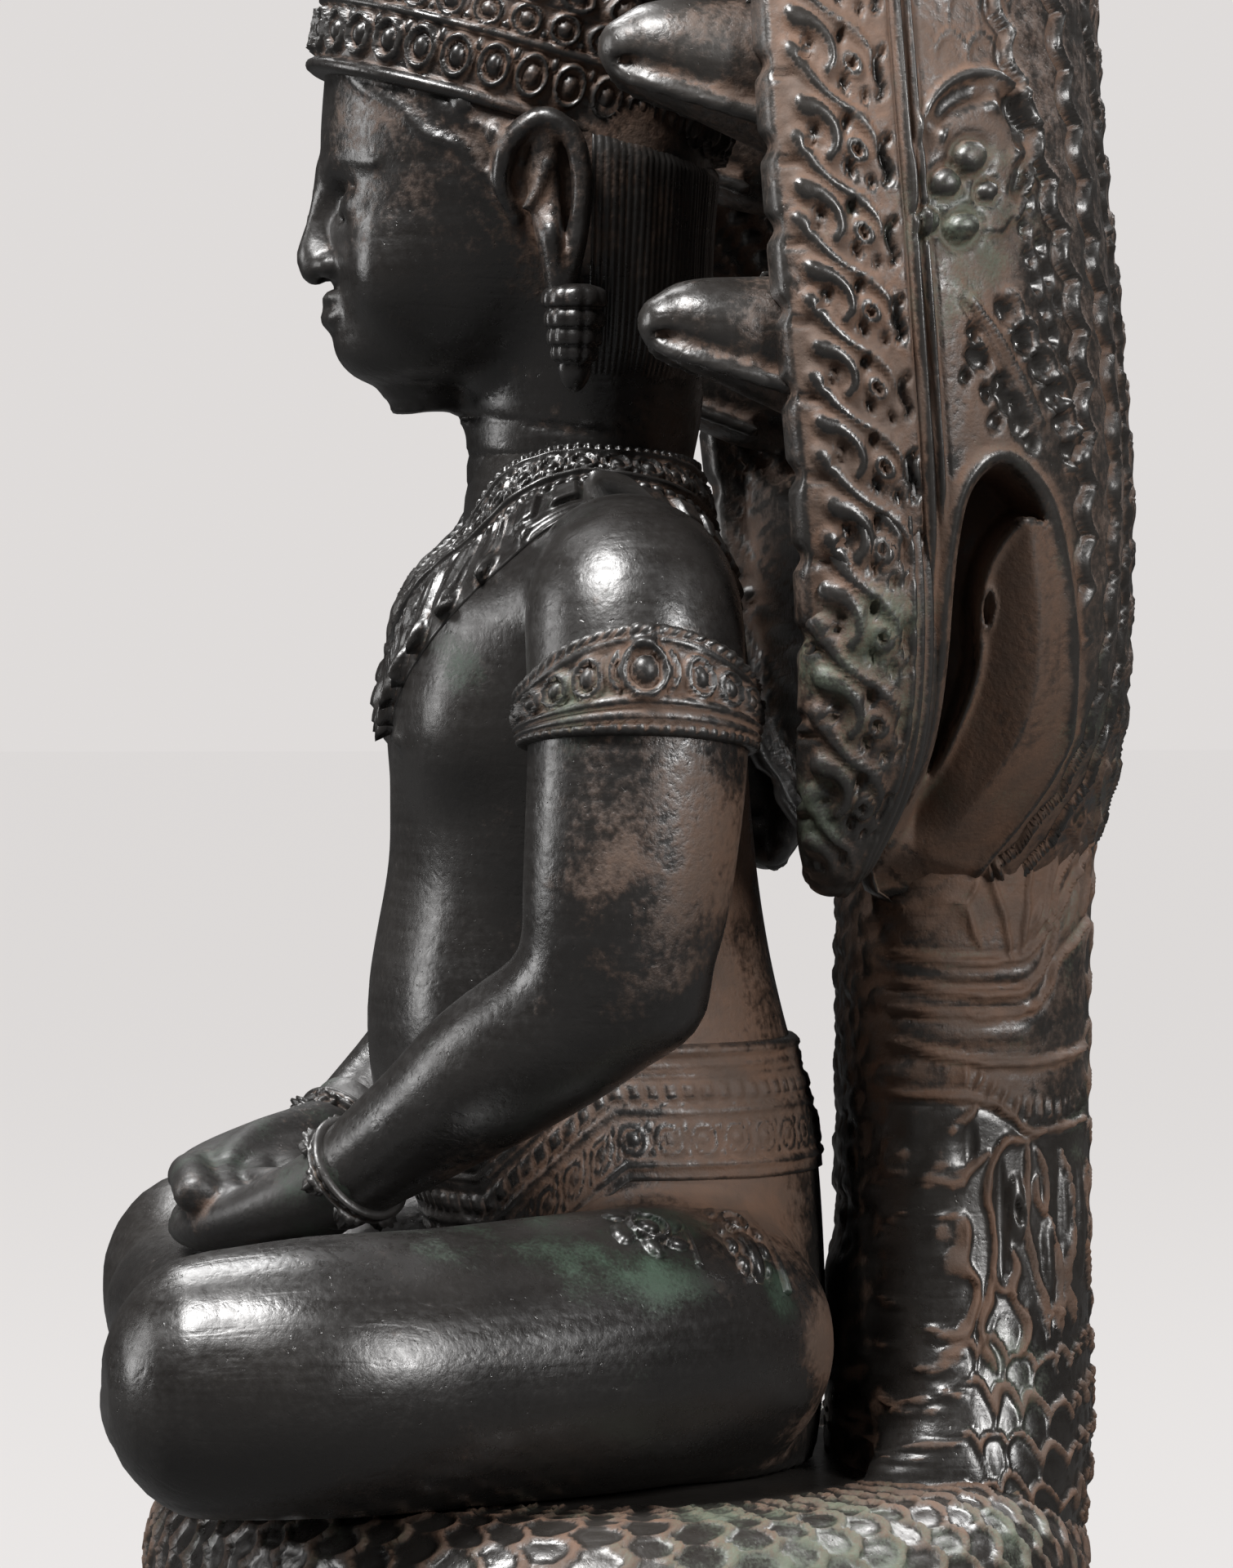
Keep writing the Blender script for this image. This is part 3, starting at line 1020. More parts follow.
def hood_half(outer_stops, inner_count, row_count):
    """The left half of the hood: its outer face, its rounded front lip and its inner face."""
    rise = np.linspace(0, 1, row_count)
    keys = np.array(HOOD_ROWS)
    reach = max(row_count // 30, 3)
    kernel = np.ones(2 * reach + 1) / (2 * reach + 1)
    lines = [np.interp(rise, keys[:, 0], keys[:, k]) for k in range(1, 5)]
    width, *depths = (np.convolve(np.pad(line, reach, mode="edge"), kernel, "valid") for line in lines)
    z = HOOD_FOOT * UNIT + rise * (HOOD_TOP - HOOD_FOOT * UNIT)
    edge, rear, inside = (NECK_FRONT + depth * UNIT for depth in depths)
    tip = 0.03 + 0.97 * np.sqrt(np.clip((1 - rise) / 0.045, 0, 1))
    middle = (edge + rear) / 2
    half = HOOD_HALF_WIDTH * width * tip
    edge, rear, inside = (middle + (line - middle) * tip for line in (edge, rear, inside))
    wall = np.minimum(15, half * 0.6)

    def oval_row(angles, wide, deep):
        square = 2.6
        c, q = np.cos(angles), np.sin(angles)
        bulge = (np.abs(c)**square + np.abs(q)**square)**(-1 / square)
        return wide[:, None] * c * bulge, edge[:, None] + deep[:, None] * q * bulge

    def rows_of(grid):
        return np.broadcast_to(z[:, None], grid.shape)

    fine = even_angles(400, 100, 72, 0, 0.5 * np.pi)
    outer_angles = np.interp(outer_stops, np.linspace(0, 1, 400), fine)
    inner_angles = even_angles(inner_count, 85, 45, 0, 0.5 * np.pi)
    ox, oy = oval_row(outer_angles, half, rear - edge)
    ix, iy = oval_row(inner_angles, half - wall, inside - edge)
    lip = np.linspace(0, np.pi, 13)[1:-1]
    lx = half[:, None] - wall[:, None] * 0.5 * (1 - np.cos(lip))
    ly = edge[:, None] - 2.2 * np.sin(lip)
    x = np.concatenate([ox[:, ::-1], lx, ix], 1)
    y = np.concatenate([oy[:, ::-1], ly, iy], 1)
    points = np.stack([x, y, rows_of(x)], -1)
    outer = ox.shape[1]
    inner = outer + lx.shape[1]
    relief, earth, polish = np.zeros(x.shape), np.zeros(x.shape), np.zeros(x.shape)

    s = along(np.stack([ox, oy], -1), 1)[:, ::-1]
    zo = rows_of(s)
    yo = y[:, :outer] + 0.8 * np.maximum(62 - x[:, :outer], 0) * smooth(380, 300, zo)
    relief[:, :outer], earth[:, :outer], polish[:, :outer] = hood_carving(s, yo, zo)
    notch = np.abs(cell(rows_of(lx), CURL_PITCH, 3)) / (CURL_PITCH / 2)
    relief[:, outer:inner] = (0.8 - 1.7 * smooth(0.55, 1.0, notch)) * np.sin(lip)
    way = along(np.stack([ix, iy], -1), 1)
    zi = rows_of(ix)
    relief[:, inner:] = inner_carving(way, zi) * smooth(0, 5, way) * smooth(118, 126, zi)
    relief *= smooth(0, 5, z - z[0])[:, None] * smooth(HOOD_TOP - 1, HOOD_TOP - 12, z)[:, None]

    points = carved(points, relief, wrap_cols=False)
    outer_x, inner_x = points[:, :outer, 0], points[:, inner:, 0]
    mask, floor_x = hollow(points[:, :outer, 1], zo)
    points[:, :outer, 0] = np.where(outer_x > floor_x, outer_x * (1 - mask) + floor_x * mask, outer_x)
    room = np.maximum(40, inner_x - 34 * smooth(196, 186, zi) * smooth(4, 14, way))
    points[:, inner:, 0] = np.where(zi < 196, np.minimum(inner_x, room), inner_x)
    points[..., 0] = np.maximum(points[..., 0], 0)
    middle_y, narrower = 68, 0.6
    foot = points[:1] * [0.7, narrower, 1] + [0, (1 - narrower) * middle_y, -5]
    zero = np.zeros((1, x.shape[1]))
    return capped(np.vstack([foot, points])), np.vstack([zero, earth]), np.vstack([zero, polish])


def inner_carving(way, z):
    """Slanting bands of beads, with loops of beads between them, on the hood's hollow face."""
    band = cell(way + 0.55 * z, 24)
    h = fillet(band, -6, 0.9, 1.1) + fillet(band, 6, 0.9, 1.1)
    h += oval(band, cell(z - 0.5 * way, 5.4), 2.4, 2.2, 1.7)
    across, up = cell(way + 0.55 * z, 24, 12) / 4.4, cell(z - 0.5 * way, 19) / 8.6
    ring = np.hypot(across, up)
    beads = 0.6 + 0.4 * np.cos(14 * np.arctan2(up, across))
    h += 1.5 * bell(ring, 0.85, 0.14) * beads + 1.3 * dome(ring / 0.45)
    return h


def boss(u, v, radius, height):
    """A round dome with a groove round it."""
    r = np.hypot(u, v) / radius
    return height * dome(r) - 0.55 * height * bell(r, 1.2, 0.28)


def front_curls(s, z):
    """The foliate band along the front edge: plump hooked leaves, small rings and comma pits in repeats."""
    zc = cell(z + 0.35 * s + 1.3 * np.sin(z / 17.0), CURL_PITCH)
    wander = 0.5 * np.sin(z / 6.3 + 1.0)
    h = 0.32 * lumps(s, z, 5.0)

    def swell(line, half, height):
        nearest = np.full(np.shape(zc), 1e9)
        for turn in (0, CURL_PITCH, -CURL_PITCH):
            away, way = follow(s + wander, zc + turn, line)
            nearest = np.minimum(nearest, np.abs(away) + 0.10 * way)
        return height * smooth(half, 0.25 * half, nearest)

    hook = swell([(4.4, 5.0), (7.2, 5.2), (9.8, 3.4), (10.4, 0.2), (9.0, -2.6)], 3.1, 1.7)
    tongue = swell([(3.2, -1.4), (5.8, -4.4), (10.0, -7.0), (15.8, -8.0)], 2.9, 1.4)
    leaf_tip = swell([(14.6, 6.6), (17.0, 4.6), (18.0, 1.6)], 1.8, 1.1)
    ring = np.hypot(s - 14.2, zc - 0.6)
    h = np.maximum(h, np.maximum(np.maximum(hook, tongue), leaf_tip))
    h = np.maximum(h, 1.2 * smooth(2.6, 1.6, ring)) - 2.2 * smooth(1.3, 0.6, ring)
    comma = follow(s, zc, [(20.6, 5.4), (19.0, 3.4), (19.2, 0.4), (20.2, -1.8), (19.0, -3.4)])[0]
    h -= 2.3 * smooth(1.35, 0.45, np.abs(comma) + 0.12 * np.abs(zc - 1))
    h += pit(s - 12.4, zc - 4.8, 0.9, 1.9, 1.9, -0.3) + pit(s - 12.6, zc + 3.4, 1.0, 1.5, 1.7, 0.4)
    h += pit(s - 16.4, zc + 4.2, 0.8, 1.3, 1.5, 0.2) + pit(s - 6.4, zc - 1.4, 1.2, 1.0, 1.6)
    h += pit(s - 5.6, zc + 1.2, 1.6, 0.7, 1.3, 0.5)
    h -= 1.5 * bell(zc + 6.4 - 0.3 * s, 0, 0.6) * smooth(6, 1, s)
    return h * smooth(FRONT_BAND - 0.8, FRONT_BAND - 2.6, s)


def scalloped(y, z, line, pitch, height):
    """An overlapping edge with scallops, dark below its lip."""
    away, way = follow(y, z, line)
    away = away + 1.9 * np.abs(np.sin(np.pi * way / pitch)) - 0.9
    lip = bell(away, 0, 0.6) - 0.9 * bell(away, -1.3, 0.8)
    return height * (lip + 0.3 * smooth(0, 1, away) * smooth(7, 3, away))


# Carving on the hood's outer face: domes [across, up, radius] in the medallion, pits of leaves [y, z, half
# width, lean], loops and seeds [y, z], and the scalloped edges, lines of [y, z]
MEDAL_DOMES = [(-1.2, 2.2, 3.5), (-5.2, -2.6, 3.1), (2.6, -4.0, 2.2), (-8.2, -10.0, 2.7), (-1.2, -10.8, 3.3)]
LEAF_PITS = [
    (60.4, 211.8, 2.3, 0.9), (64.6, 207.0, 1.8, -0.3), (61.8, 205.6, 1.2, 0.1), (66.4, 203.6, 2.1, 0.8),
    (63.6, 200.4, 1.6, -0.6), (68.4, 199.6, 2.0, 0.3), (59.2, 216.4, 1.3, 0.4), (70.8, 196.2, 1.4, -0.2),
    (57.8, 208.4, 1.2, -0.4),
]
LOOPS = [(65.2, 220.5), (68.4, 215.5), (72.0, 210.5), (74.8, 205.6), (76.9, 200.6), (78.4, 195.5)]
LOOP_EDGES = [([(57, 222), (62, 214.5), (67, 206), (71.5, 198)], -0.9),
              ([(59, 222.5), (64, 216), (69, 208), (73, 200)], 1.0)]
SEEDS = [
    (69.5, 236), (70.5, 230.5), (73, 233), (71.8, 226), (74.4, 227.6), (76.5, 222.5), (73.6, 221),
    (75.5, 216.4), (78, 212.5), (77.6, 206.4), (70.5, 241),
]
FRONT_EDGE = [
    (60, 300), (64.5, 282), (68.3, 265.5), (71.5, 255), (74.8, 245.7), (77.4, 236.2), (79, 229.7),
    (81.2, 220), (82.6, 205), (83.4, 180), (82.6, 150), (81.5, 112),
]
MIDDLE_EDGE = [
    (70, 318), (76, 290), (79, 268), (82.5, 250), (85.5, 232), (88.5, 214), (90.6, 192), (90.4, 160),
    (88, 130), (84, 112),
]
BACK_EDGE = [
    (60, 392), (74, 352), (84, 320), (90, 290), (94, 262), (97.5, 236), (100.5, 210), (102, 180),
    (100, 145), (94, 112),
]


def medallion(y, z):
    """A tall oval field with a raised rim, rays above and domes in it."""
    u, w = y - 59.5 - 0.12 * (z - 247), z - 246.5
    away = np.hypot(u / (11.6 + 0.12 * w), w / 18.0)
    inside = smooth(0.97, 0.9, away) * (w > -12)
    ray = bell(cell(np.arctan2(w, u), 1.05, 0.35), 0, 0.16)
    h = 1.5 * bell(away, 1, 0.05) * (w > -9)
    h += inside * (0.7 - 2.2 * smooth(0.62, 0.78, away) * smooth(-3, 2, w + 0.5 * u))
    h += 1.9 * inside * ray * smooth(0.55, 0.7, away) * (w > 0)
    for across, up, radius in MEDAL_DOMES:
        h += boss(u - across, w - up, 0.9 * radius, 1.9) * smooth(1.3, 1.0, away)
    return h


def pits_and_loops(y, z):
    """Fields of leaves, loops and seeds below the medallion."""
    h = np.zeros(y.shape)
    for u, w, half, lean in LEAF_PITS:
        h += pit(y - u, z - w, half, 1.35 * half, 2.2, lean)
    for u, w in LOOPS:
        ring = np.hypot((y - u - 0.8) / 2.4, (z - w) / 3.6)
        h += pit(y - u, z - w, 1.5, 2.7, 2.2, 0.45) + 1.3 * bell(ring, 1, 0.16) * (y > u)
    for line, height in LOOP_EDGES:
        h += stroke(y, z, line, 0.5, height)
    for u, w in SEEDS:
        h += pit(y - u, z - w, 0.9, 2.0, 1.7, 0.35)
    return h


def hood_carving(s, y, z):
    """Height, earth and polish on the hood's outer face, by the way s from its front edge and by y and z."""
    ridge = FRONT_BAND + 0.9 * np.sin(z / 31.0)
    curls = front_curls(s, z)
    h = curls + fillet(s, ridge, 0.8, 1.7) + fillet(s, ridge + 2.3, 0.6, 1.1)
    for at, half, depth in ((1.2, 0.5, 1.3), (-1.3, 0.6, 0.9), (3.4, 0.5, 0.6)):
        h += groove(s, ridge + at, half, depth)
    beads = pit(s - ridge - 4.8, cell(z, 7.2), 0.9, 2.4, 1.6, -0.15) + fillet(s, ridge + 6.7, 0.5, 0.9)
    h += smooth(190, 184, z) * smooth(132, 138, z) * beads
    upper = smooth(262, 268, z) * smooth(ridge + 4, ridge + 6, s) * smooth(52, 46, s)
    h += upper * scales(z / 8.5, (s - ridge) / 7.0, 0.45)[0]
    h += medallion(y, z) + pits_and_loops(y, z)
    for line, pitch, height in ((FRONT_EDGE, 9.5, 1.6), (MIDDLE_EDGE, 10.5, 1.4), (BACK_EDGE, 11.5, 1.4)):
        h += scalloped(y, z, line, pitch, height)
    between = smooth(1.5, 3, -follow(y, z, FRONT_EDGE)[0]) * smooth(1.2, 2.5, follow(y, z, MIDDLE_EDGE)[0])
    h += 0.55 * between * np.sin(z / 1.9 + y * 1.1) * np.cos(y * 1.5)
    edge_y, edge_z = np.array(BACK_EDGE[::-1]).T
    behind = smooth(1, 4, y - np.interp(z, edge_z, edge_y)) * smooth(112, 124, z)
    back, back_net = scales(z / 10.5, (s - ridge) / 9.0, 1.0, 0.12)
    h = h * smooth(112, 100, y) * (1 - behind) + behind * back
    plain = smooth(ridge + 6, ridge + 9, s) * smooth(250, 225, z) * smooth(70, 64, y)
    h += 0.2 * plain * np.sin(z / 3.1 + np.sin(s / 2.7) * 1.6)
    near, _ = hollow_edges(y, z)
    lip = bell(near, -1.6, 1.1) * (z < 202)
    flat = smooth(-5.5, -3.2, near) * (z < 202)
    h = h * (1 - flat) + 1.2 * lip
    earth = 0.6 * behind * back_net + 0.25 * plain + 0.3 * smooth(FRONT_BAND, FRONT_BAND - 2, s)
    earth = earth * (1 - flat) + 0.55 * flat
    polish = 0.45 * smooth(0.9, 1.5, curls) + 1.1 * smooth(-0.9, -1.9, h)
    polish += 0.5 * lip + 0.2 * smooth(0.9, 1.5, h)
    return h, earth, np.clip(polish, 0, 1.2)


def hollow_edges(y, z):
    """How far inside the hollow's rim a point lies, and how far on the leaf in it, in millimetres."""
    return -follow(y, z, HOLLOW)[0], -follow(y, z, LEAF)[0]


def hollow(y, z):
    """The hollow's mask and the x of its floor: a convex leaf with a raised rim, and a channel round it."""
    rim, leaf_in = hollow_edges(y, z)
    t = np.clip((z - 112) / 72, 0, 1)
    on_leaf = smooth(-0.6, 0.6, leaf_in)
    across = np.clip((y - 69) / 13, -1.2, 1.2)
    swell = (8 * (1 - across**2) + 9 * smooth(-0.5, 1.0, across)) * smooth(0.02, 0.3, t)
    leaf_x = 48 + 28 * t + swell + 1.8 * bell(leaf_in, 1.0, 0.9)
    loop = np.hypot((y - 64.2) / 1.2, (z - 166) / 3.6)
    leaf_x += 1.2 * bell(loop, 1, 0.22) - 1.6 * smooth(0.9, 0.6, loop)
    channel_x = 46 + 17 * t
    return smooth(-0.3, 3.2, rim), channel_x * (1 - on_leaf) + leaf_x * on_leaf - 9 * smooth(122, 112, z)


# The lobe: [share of the hood's half width, how far before the neck's front, height, wide, deep]
LOBE = [
    (0.90, 4, 194, 10, 6), (0.87, 3.4, 167, 12.6, 8), (0.80, 4.2, 143, 12.4, 8.5), (0.71, 7.4, 124, 8.4, 7),
    (0.66, 8.8, 117, 5.4, 5.2),
]


def lobe():
    """The lobe in which the front band ends: a closed mesh with its polish."""
    tube = Tube([
        (share * HOOD_HALF_WIDTH, NECK_FRONT - forward * UNIT, height * UNIT, wide, deep)
        for share, forward, height, wide, deep in LOBE], side=(0, 1, 0), scale=1)
    t = np.linspace(0, 1, 112)
    points = tube.at(t[:, None], np.linspace(0, 2 * np.pi, 101)[:-1])
    y, z = points[..., 1], points[..., 2]
    middle, half = points.mean(1, keepdims=True), tube.frame(t)[1][:, :1]
    outside = smooth(-1, 3, points[..., 0] - middle[..., 0])
    s = (y - middle[..., 1] + half) * 25.0 / (2 * half)
    curls = front_curls(s * 1.03, z) * smooth(21, 17, s)
    h = outside * curls * smooth(115, 124, z)
    for at, height in ((19.6, 1.0), (21.2, 0.8), (22.8, 0.8)):
        h += outside * (fillet(s, at, 0.6, height) + groove(s, at + 0.8, 0.4, 0.8))
    notch = np.abs(cell(z, CURL_PITCH, 3)) / (CURL_PITCH / 2)
    points = carved(points, h - 1.1 * smooth(0.75, 1.0, notch) * smooth(3, 0, s))
    tip, ahead = points[-1].mean(0), tube.frame(np.array([1.0]))[2][0]
    turns = np.array([0.3, 0.6, 0.9, 1.2, 1.4])[:, None, None]
    end = tip + (points[-1] - tip) * np.cos(turns) + ahead * 4.6 * np.sin(turns)
    return capped(np.vstack([points, end])), 0.5 * smooth(1.0, 2.2, curls) * outside


def serpent_head():
    """A serpent's head that faces -Y, with its mouth's corner below its eye."""
    clay = Clay((-20, -28, -28), (20, 34, 22), 1.5, 6)
    clay.add(loft([
        (0, 30, -7.5, 12, 18), (0, 14, -6.2, 13, 16.2), (0, 2, -4.0, 13, 13.6), (0, -8, -2.0, 12.2, 11.2),
        (0, -15, -0.8, 11, 9.6), (0, -19.5, -0.4, 9.2, 8.0), (0, -22.5, -0.6, 6.6, 5.8),
    ], scale=1, step=0.9, sides=44))
    lip = [
        (3.0, -23.4, -5.6, 1.6, 1.6), (8.0, -18.5, -7.6, 1.7, 1.7), (10.6, -9, -10.6, 1.8, 1.8),
        (11.8, 2, -14.0, 1.8, 1.9), (12.2, 14, -18.4, 1.8, 1.9),
    ]
    mouth = [(x * 1.12, y - 0.4, z + 3.2, 1.2, 1.1) for x, y, z, _, _ in lip]
    brow = [(10.6, -2, 7.4, 1.0, 0.9), (11.8, 3, 10.2, 1.2, 1.0), (12, 10, 10.4, 1.2, 1.1)]

    def line(stations, hand, sides):
        stations = [(hand * x, y, z, wide, deep) for x, y, z, wide, deep in stations]
        return loft(stations, scale=1, step=0.8, sides=sides, side=(0, 0, 1))

    for hand in (1, -1):
        clay.add(line(lip, hand, 16), 1.2)
        clay.add(line(mouth, hand, 12), 1.0, cut=True)
        clay.add(clay.ball((hand * 13.2, 5.5, 4.6), (2.4, 5.2, 4.6)), 0.8, cut=True)
        clay.add(clay.ball((hand * 12.0, 5.4, 4.4), (2.4, 3.6, 3.2)), 0.4)
        clay.add(line(brow, hand, 14), 0.9)
    return clay.surface()


def heads():
    """Three heads at each side of the hood and one above the crown, in one mesh."""
    points, faces = serpent_head()
    all_points, all_faces = [], []

    def put(x, y, z, size, turn, flip):
        c, q = math.cos(turn), math.sin(turn)
        across, ahead, up = (points * size).T
        placed = np.stack([across * c - ahead * q, across * q + ahead * c, up], -1) + [x, y, z]
        all_faces.append((faces[:, ::-1] if flip else faces) + len(points) * len(all_points))
        all_points.append(placed * [-1 if flip else 1, 1, 1])

    for share, height, forward, size in HEADS:
        for flip in (False, True):
            at = share * HOOD_HALF_WIDTH, NECK_FRONT - forward * UNIT, height * UNIT
            put(*at, size, math.radians(8), flip)
    put(0, NECK_FRONT - 31 * UNIT, FIGURE_HEIGHT + 0.38 * (HOOD_TOP - FIGURE_HEIGHT), 1.08, 0, False)
    return np.vstack(all_points), np.vstack(all_faces)


def place_serpent(name, mesh, **marked):
    place_closed(name, mesh, serpent_bronze, SERPENT, **marked)


def place_coil(name, number, around, rows, top=False):
    mesh, net = coil(number, around, rows, top)
    place_serpent(name, mesh, earth=0.08 + 1.25 * net, polish=0.4 * smooth(0.5, 0.1, net), green=0.42 * net)


place_coil("serpent_coil_top", 0, 720, 54, True)
place_coil("serpent_coil_middle", 1, 440, 30)
place_coil("serpent_coil_low", 2, 440, 30)
place_serpent("serpent_foot", foot())
neck_mesh, neck_lines, neck_polish = neck()
place_serpent("serpent_neck", neck_mesh, earth=0.08 + 1.4 * neck_lines, polish=0.6 * neck_polish)
near_stops = np.concatenate([
    np.linspace(0, 0.30, 80)[:-1], np.linspace(0.30, 0.62, 58)[:-1], np.linspace(0.62, 1, 32)])
hood_mesh, hood_earth, hood_polish = hood_half(near_stops, 30, 330)
place_serpent("hood_left", hood_mesh, earth=hood_earth, polish=hood_polish)
hood_mesh, hood_earth, hood_polish = hood_half(np.linspace(0, 1, 92), 80, 205)
place_serpent("hood_right", mirrored(hood_mesh), earth=hood_earth, polish=hood_polish)
lobe_mesh, lobe_polish = lobe()
place_serpent("hood_lobe_left", lobe_mesh, polish=lobe_polish)
place_serpent("hood_lobe_right", mirrored(lobe_mesh), polish=lobe_polish)
place("serpent_heads", *heads(), serpent_bronze, SERPENT)


# Ornaments and hair: relief laid over the skin and sunk under it at its edges

def laid(tree, centre, directions, reach=150.0, rounds=3):
    """How far from centre (one point or a grid) rays that come from outside first meet a skin."""
    shape = directions.shape[:-1]
    starts = np.broadcast_to(centre, directions.shape).reshape(-1, 3)
    out = np.full(len(starts), np.nan)
    for i, (start, way) in enumerate(zip(starts, directions.reshape(-1, 3))):
        middle, way = Vector(start), Vector(way)
        hit = tree.ray_cast(middle + reach * way, -way)[0]
        if hit:
            out[i] = (hit - middle).dot(way)
    out = np.where(np.isnan(out), np.nanmedian(out), out).reshape(shape)
    for _ in range(rounds):
        out = (out + np.roll(out, 1, 1) + np.roll(out, -1, 1)) / 3
        out[1:-1] = (out[1:-1] + out[:-2] + out[2:]) / 3
    return out


def round_way(points, pitch):
    """How far round a closed grid each point lies, in repeats of about pitch: a whole number in all."""
    way = ring_way(points[len(points) // 2])
    return way[:-1] / way[-1] * max(round(way[-1] / pitch), 1)


def repeat(turns, pitch, shift=0.0):
    """The local coordinate within each repeat, in millimetres."""
    return ((turns + shift + 0.5) % 1 - 0.5) * pitch


def bead_row(turns, w, pitch, centre, half, height, shift=0.0):
    return oval(repeat(turns, pitch, shift), w - centre, 0.47 * pitch, half, height)


def pad(u, v, wide, tall, height):
    """A bead with a square face and soft edges."""
    return height * smooth(1.0, 0.62, np.abs(u) / wide) * smooth(1.0, 0.62, np.abs(v) / tall)


def band_grid(cols, rows, width):
    """A band round a limb: its angles, shares of its width, and how far up its width each point lies."""
    angle = np.linspace(-np.pi, np.pi, cols + 1)[:-1]
    share = np.linspace(0, 1, rows)[:, None]
    return angle, share, share * width + 0 * angle


def collar():
    centre = np.array([0, -8, 170]) * UNIT
    angle, share, w = band_grid(480, 50, 30)
    front, rear = np.maximum(-np.sin(angle), 0), np.maximum(np.sin(angle), 0)
    inner = 50 - 44 * front**3 - 4 * rear
    outer = 17 - 58 * front**1.4 - 27 * rear**1.5
    rise = np.radians(inner + (outer - inner) * share)
    way = np.stack([np.cos(rise) * np.cos(angle), np.cos(rise) * np.sin(angle), np.sin(rise)], -1)
    points = centre + way * laid(bust_tree, centre, way, rounds=8)[..., None]
    small, broad = round_way(points, 2.7), round_way(points, 7.2)
    at_side = smooth(-0.45, -0.15, np.sin(angle))
    between = repeat(broad, 7.2, 0.5)
    h = 1.0 + bead_row(small, w, 2.7, 1.6, 1.1, 1.1) + fillet(w, 3.9, 1.0, 1.5)
    h += framed_oval(repeat(broad, 7.2), w - 8.6, 3.3, 3.4, 1.7) + oval(between, w - 6.6, 0.9, 1.3, 1.2)
    h += oval(between, w - 10.6, 0.9, 1.3, 1.2) + fillet(w, 13.4, 0.95, 1.7)
    h += bead_row(small, w, 2.7, 15.8, 1.1, 1.0, 0.5)
    leaves = leaf(between, w - 16.6, 3.3, 12.4, 2.3, 1.6) + oval(between - 1.5, w - 26.6, 1.9, 2.2, 1.9)
    leaves -= 0.8 * smooth(17, 21, w)
    squares = pad(between, w - 20.5, 2.9, 3.6, 2.2) + fillet(w, 26.2, 0.9, 1.2) - 0.3
    h += ((1 - at_side) * leaves + at_side * squares) * (w > 16.9)
    h += 0.12 * np.sin(small * 2.1 + w) * np.cos(w * 0.9)
    place_ring("collar", points + way * sunk(h, 2.6)[..., None], skin_bronze)


def falling_share(tube, z):
    t = np.linspace(0, 1, 400)
    heights = catmull(tube.stations[:, 2:3], t)[:, 0]
    return np.interp(-z, -heights, t)


def both_rings(name, points):
    place_ring(name + "_left", points, jewel_bronze)
    place_ring(name + "_right", points * [-1, 1, 1], jewel_bronze)


def armlets():
    tube = Tube(UPPER_ARM)
    angle, share, w = band_grid(200, 32, 16)
    peak = np.maximum(np.cos(angle), 0)**2
    t = falling_share(tube, (139.5 + share * (11.5 + 7.5 * peak)) * UNIT)
    base = tube.at(t, angle)
    turns, small = round_way(base, 6.6), round_way(base, 2.3)
    middle = turns[len(turns) // 2]
    around = (turns - middle) * 6.6
    beside = np.abs(cell(turns, turns[-1] + turns[1] - turns[0], middle)) > 0.62
    h = 1.5 + bead_row(small, w, 2.3, 1.3, 0.9, 0.8)
    h += fillet(w, 3.0, 0.8, 1.0) + fillet(w, 5.0, 0.9, 1.3)
    h += beside * framed_oval(repeat(turns, 6.6, 0.5 - middle % 1), w - 8.9, 2.9, 3.0, 1.8)
    h += framed_oval(around, w - 8.9, 4.3, 3.6, 2.4)
    twist = 0.9 + 0.35 * np.sin(small * 2 * np.pi + w * 2.2)
    h += fillet(w, 12.9, 0.7, 0.9) + twist * fillet(w, 14.7, 1.2, 1.1)
    h += peak**3 * oval(around, w - 13.6, 2.6, 2.6, 1.4)
    both_rings("armlet", tube.at(t, angle, sunk(h, 1.6)))


def bracelets():
    tube = Tube(FOREARM)
    angle, share, w = band_grid(140, 22, 12)
    t = 0.84 + 0.125 * share + 0 * angle
    base = tube.at(t, angle)
    turns, small = round_way(base, 9.0), round_way(base, 2.3)
    h = 0.7 + fillet(w, 1.4, 0.8, 0.9) + bead_row(small, w, 2.3, 3.2, 0.9, 0.6) + fillet(w, 5.0, 0.8, 0.9)
    h += leaf(repeat(turns, 9.0), w - 5.0, 4.2, 7.2, 2.4) - 0.8 * smooth(5, 6, w)
    both_rings("bracelet", tube.at(t, angle, sunk(h, 1.2)))


def belt():
    angle, share, w = band_grid(370, 40, 26.5)
    front = np.maximum(-np.sin(angle), 0)
    t = torso_tube.share((56.5 + 26.5 * share - np.minimum(34 * front**1.1, 22)) * UNIT)
    base = torso_tube.at(t, angle)
    square, rose = round_way(base, 3.6), round_way(base, 7.0)
    between = repeat(rose, 7.0, 0.5)
    h = 0.8 + fillet(w, 24.9, 1.2, 1.0) + fillet(w, 22.3, 0.9, 0.6)
    h += pad(repeat(square, 3.6), w - 17.4, 1.4, 1.7, 0.55)
    h += pad(repeat(square, 3.6, 0.5), w - 15.0, 0.8, 0.6, 0.3)
    h += fillet(w, 13.6, 0.8, 0.55) + fillet(w, 20.6, 0.6, 0.35) + fillet(w, 3.6, 0.8, 0.6)
    h += framed_oval(repeat(rose, 7.0), w - 8.4, 2.9, 3.2, 0.6)
    h += oval(between, w - 6, 0.7, 0.9, 0.5) + oval(between, w - 10.8, 0.7, 0.9, 0.5)
    h += 0.16 * np.sin(w * 0.9 + 2.6 * np.sin(rose * 1.3)) * np.cos(square * 0.7)
    place_ring("belt", torso_tube.at(t, angle, sunk(h, 1.6)), skin_bronze)


def sunk_edges(h, depth):
    """Relief whose four edges dive under the skin that the patch lies on."""
    h[[0, -1]] = -depth
    h[:, [0, -1]] = -depth
    return h


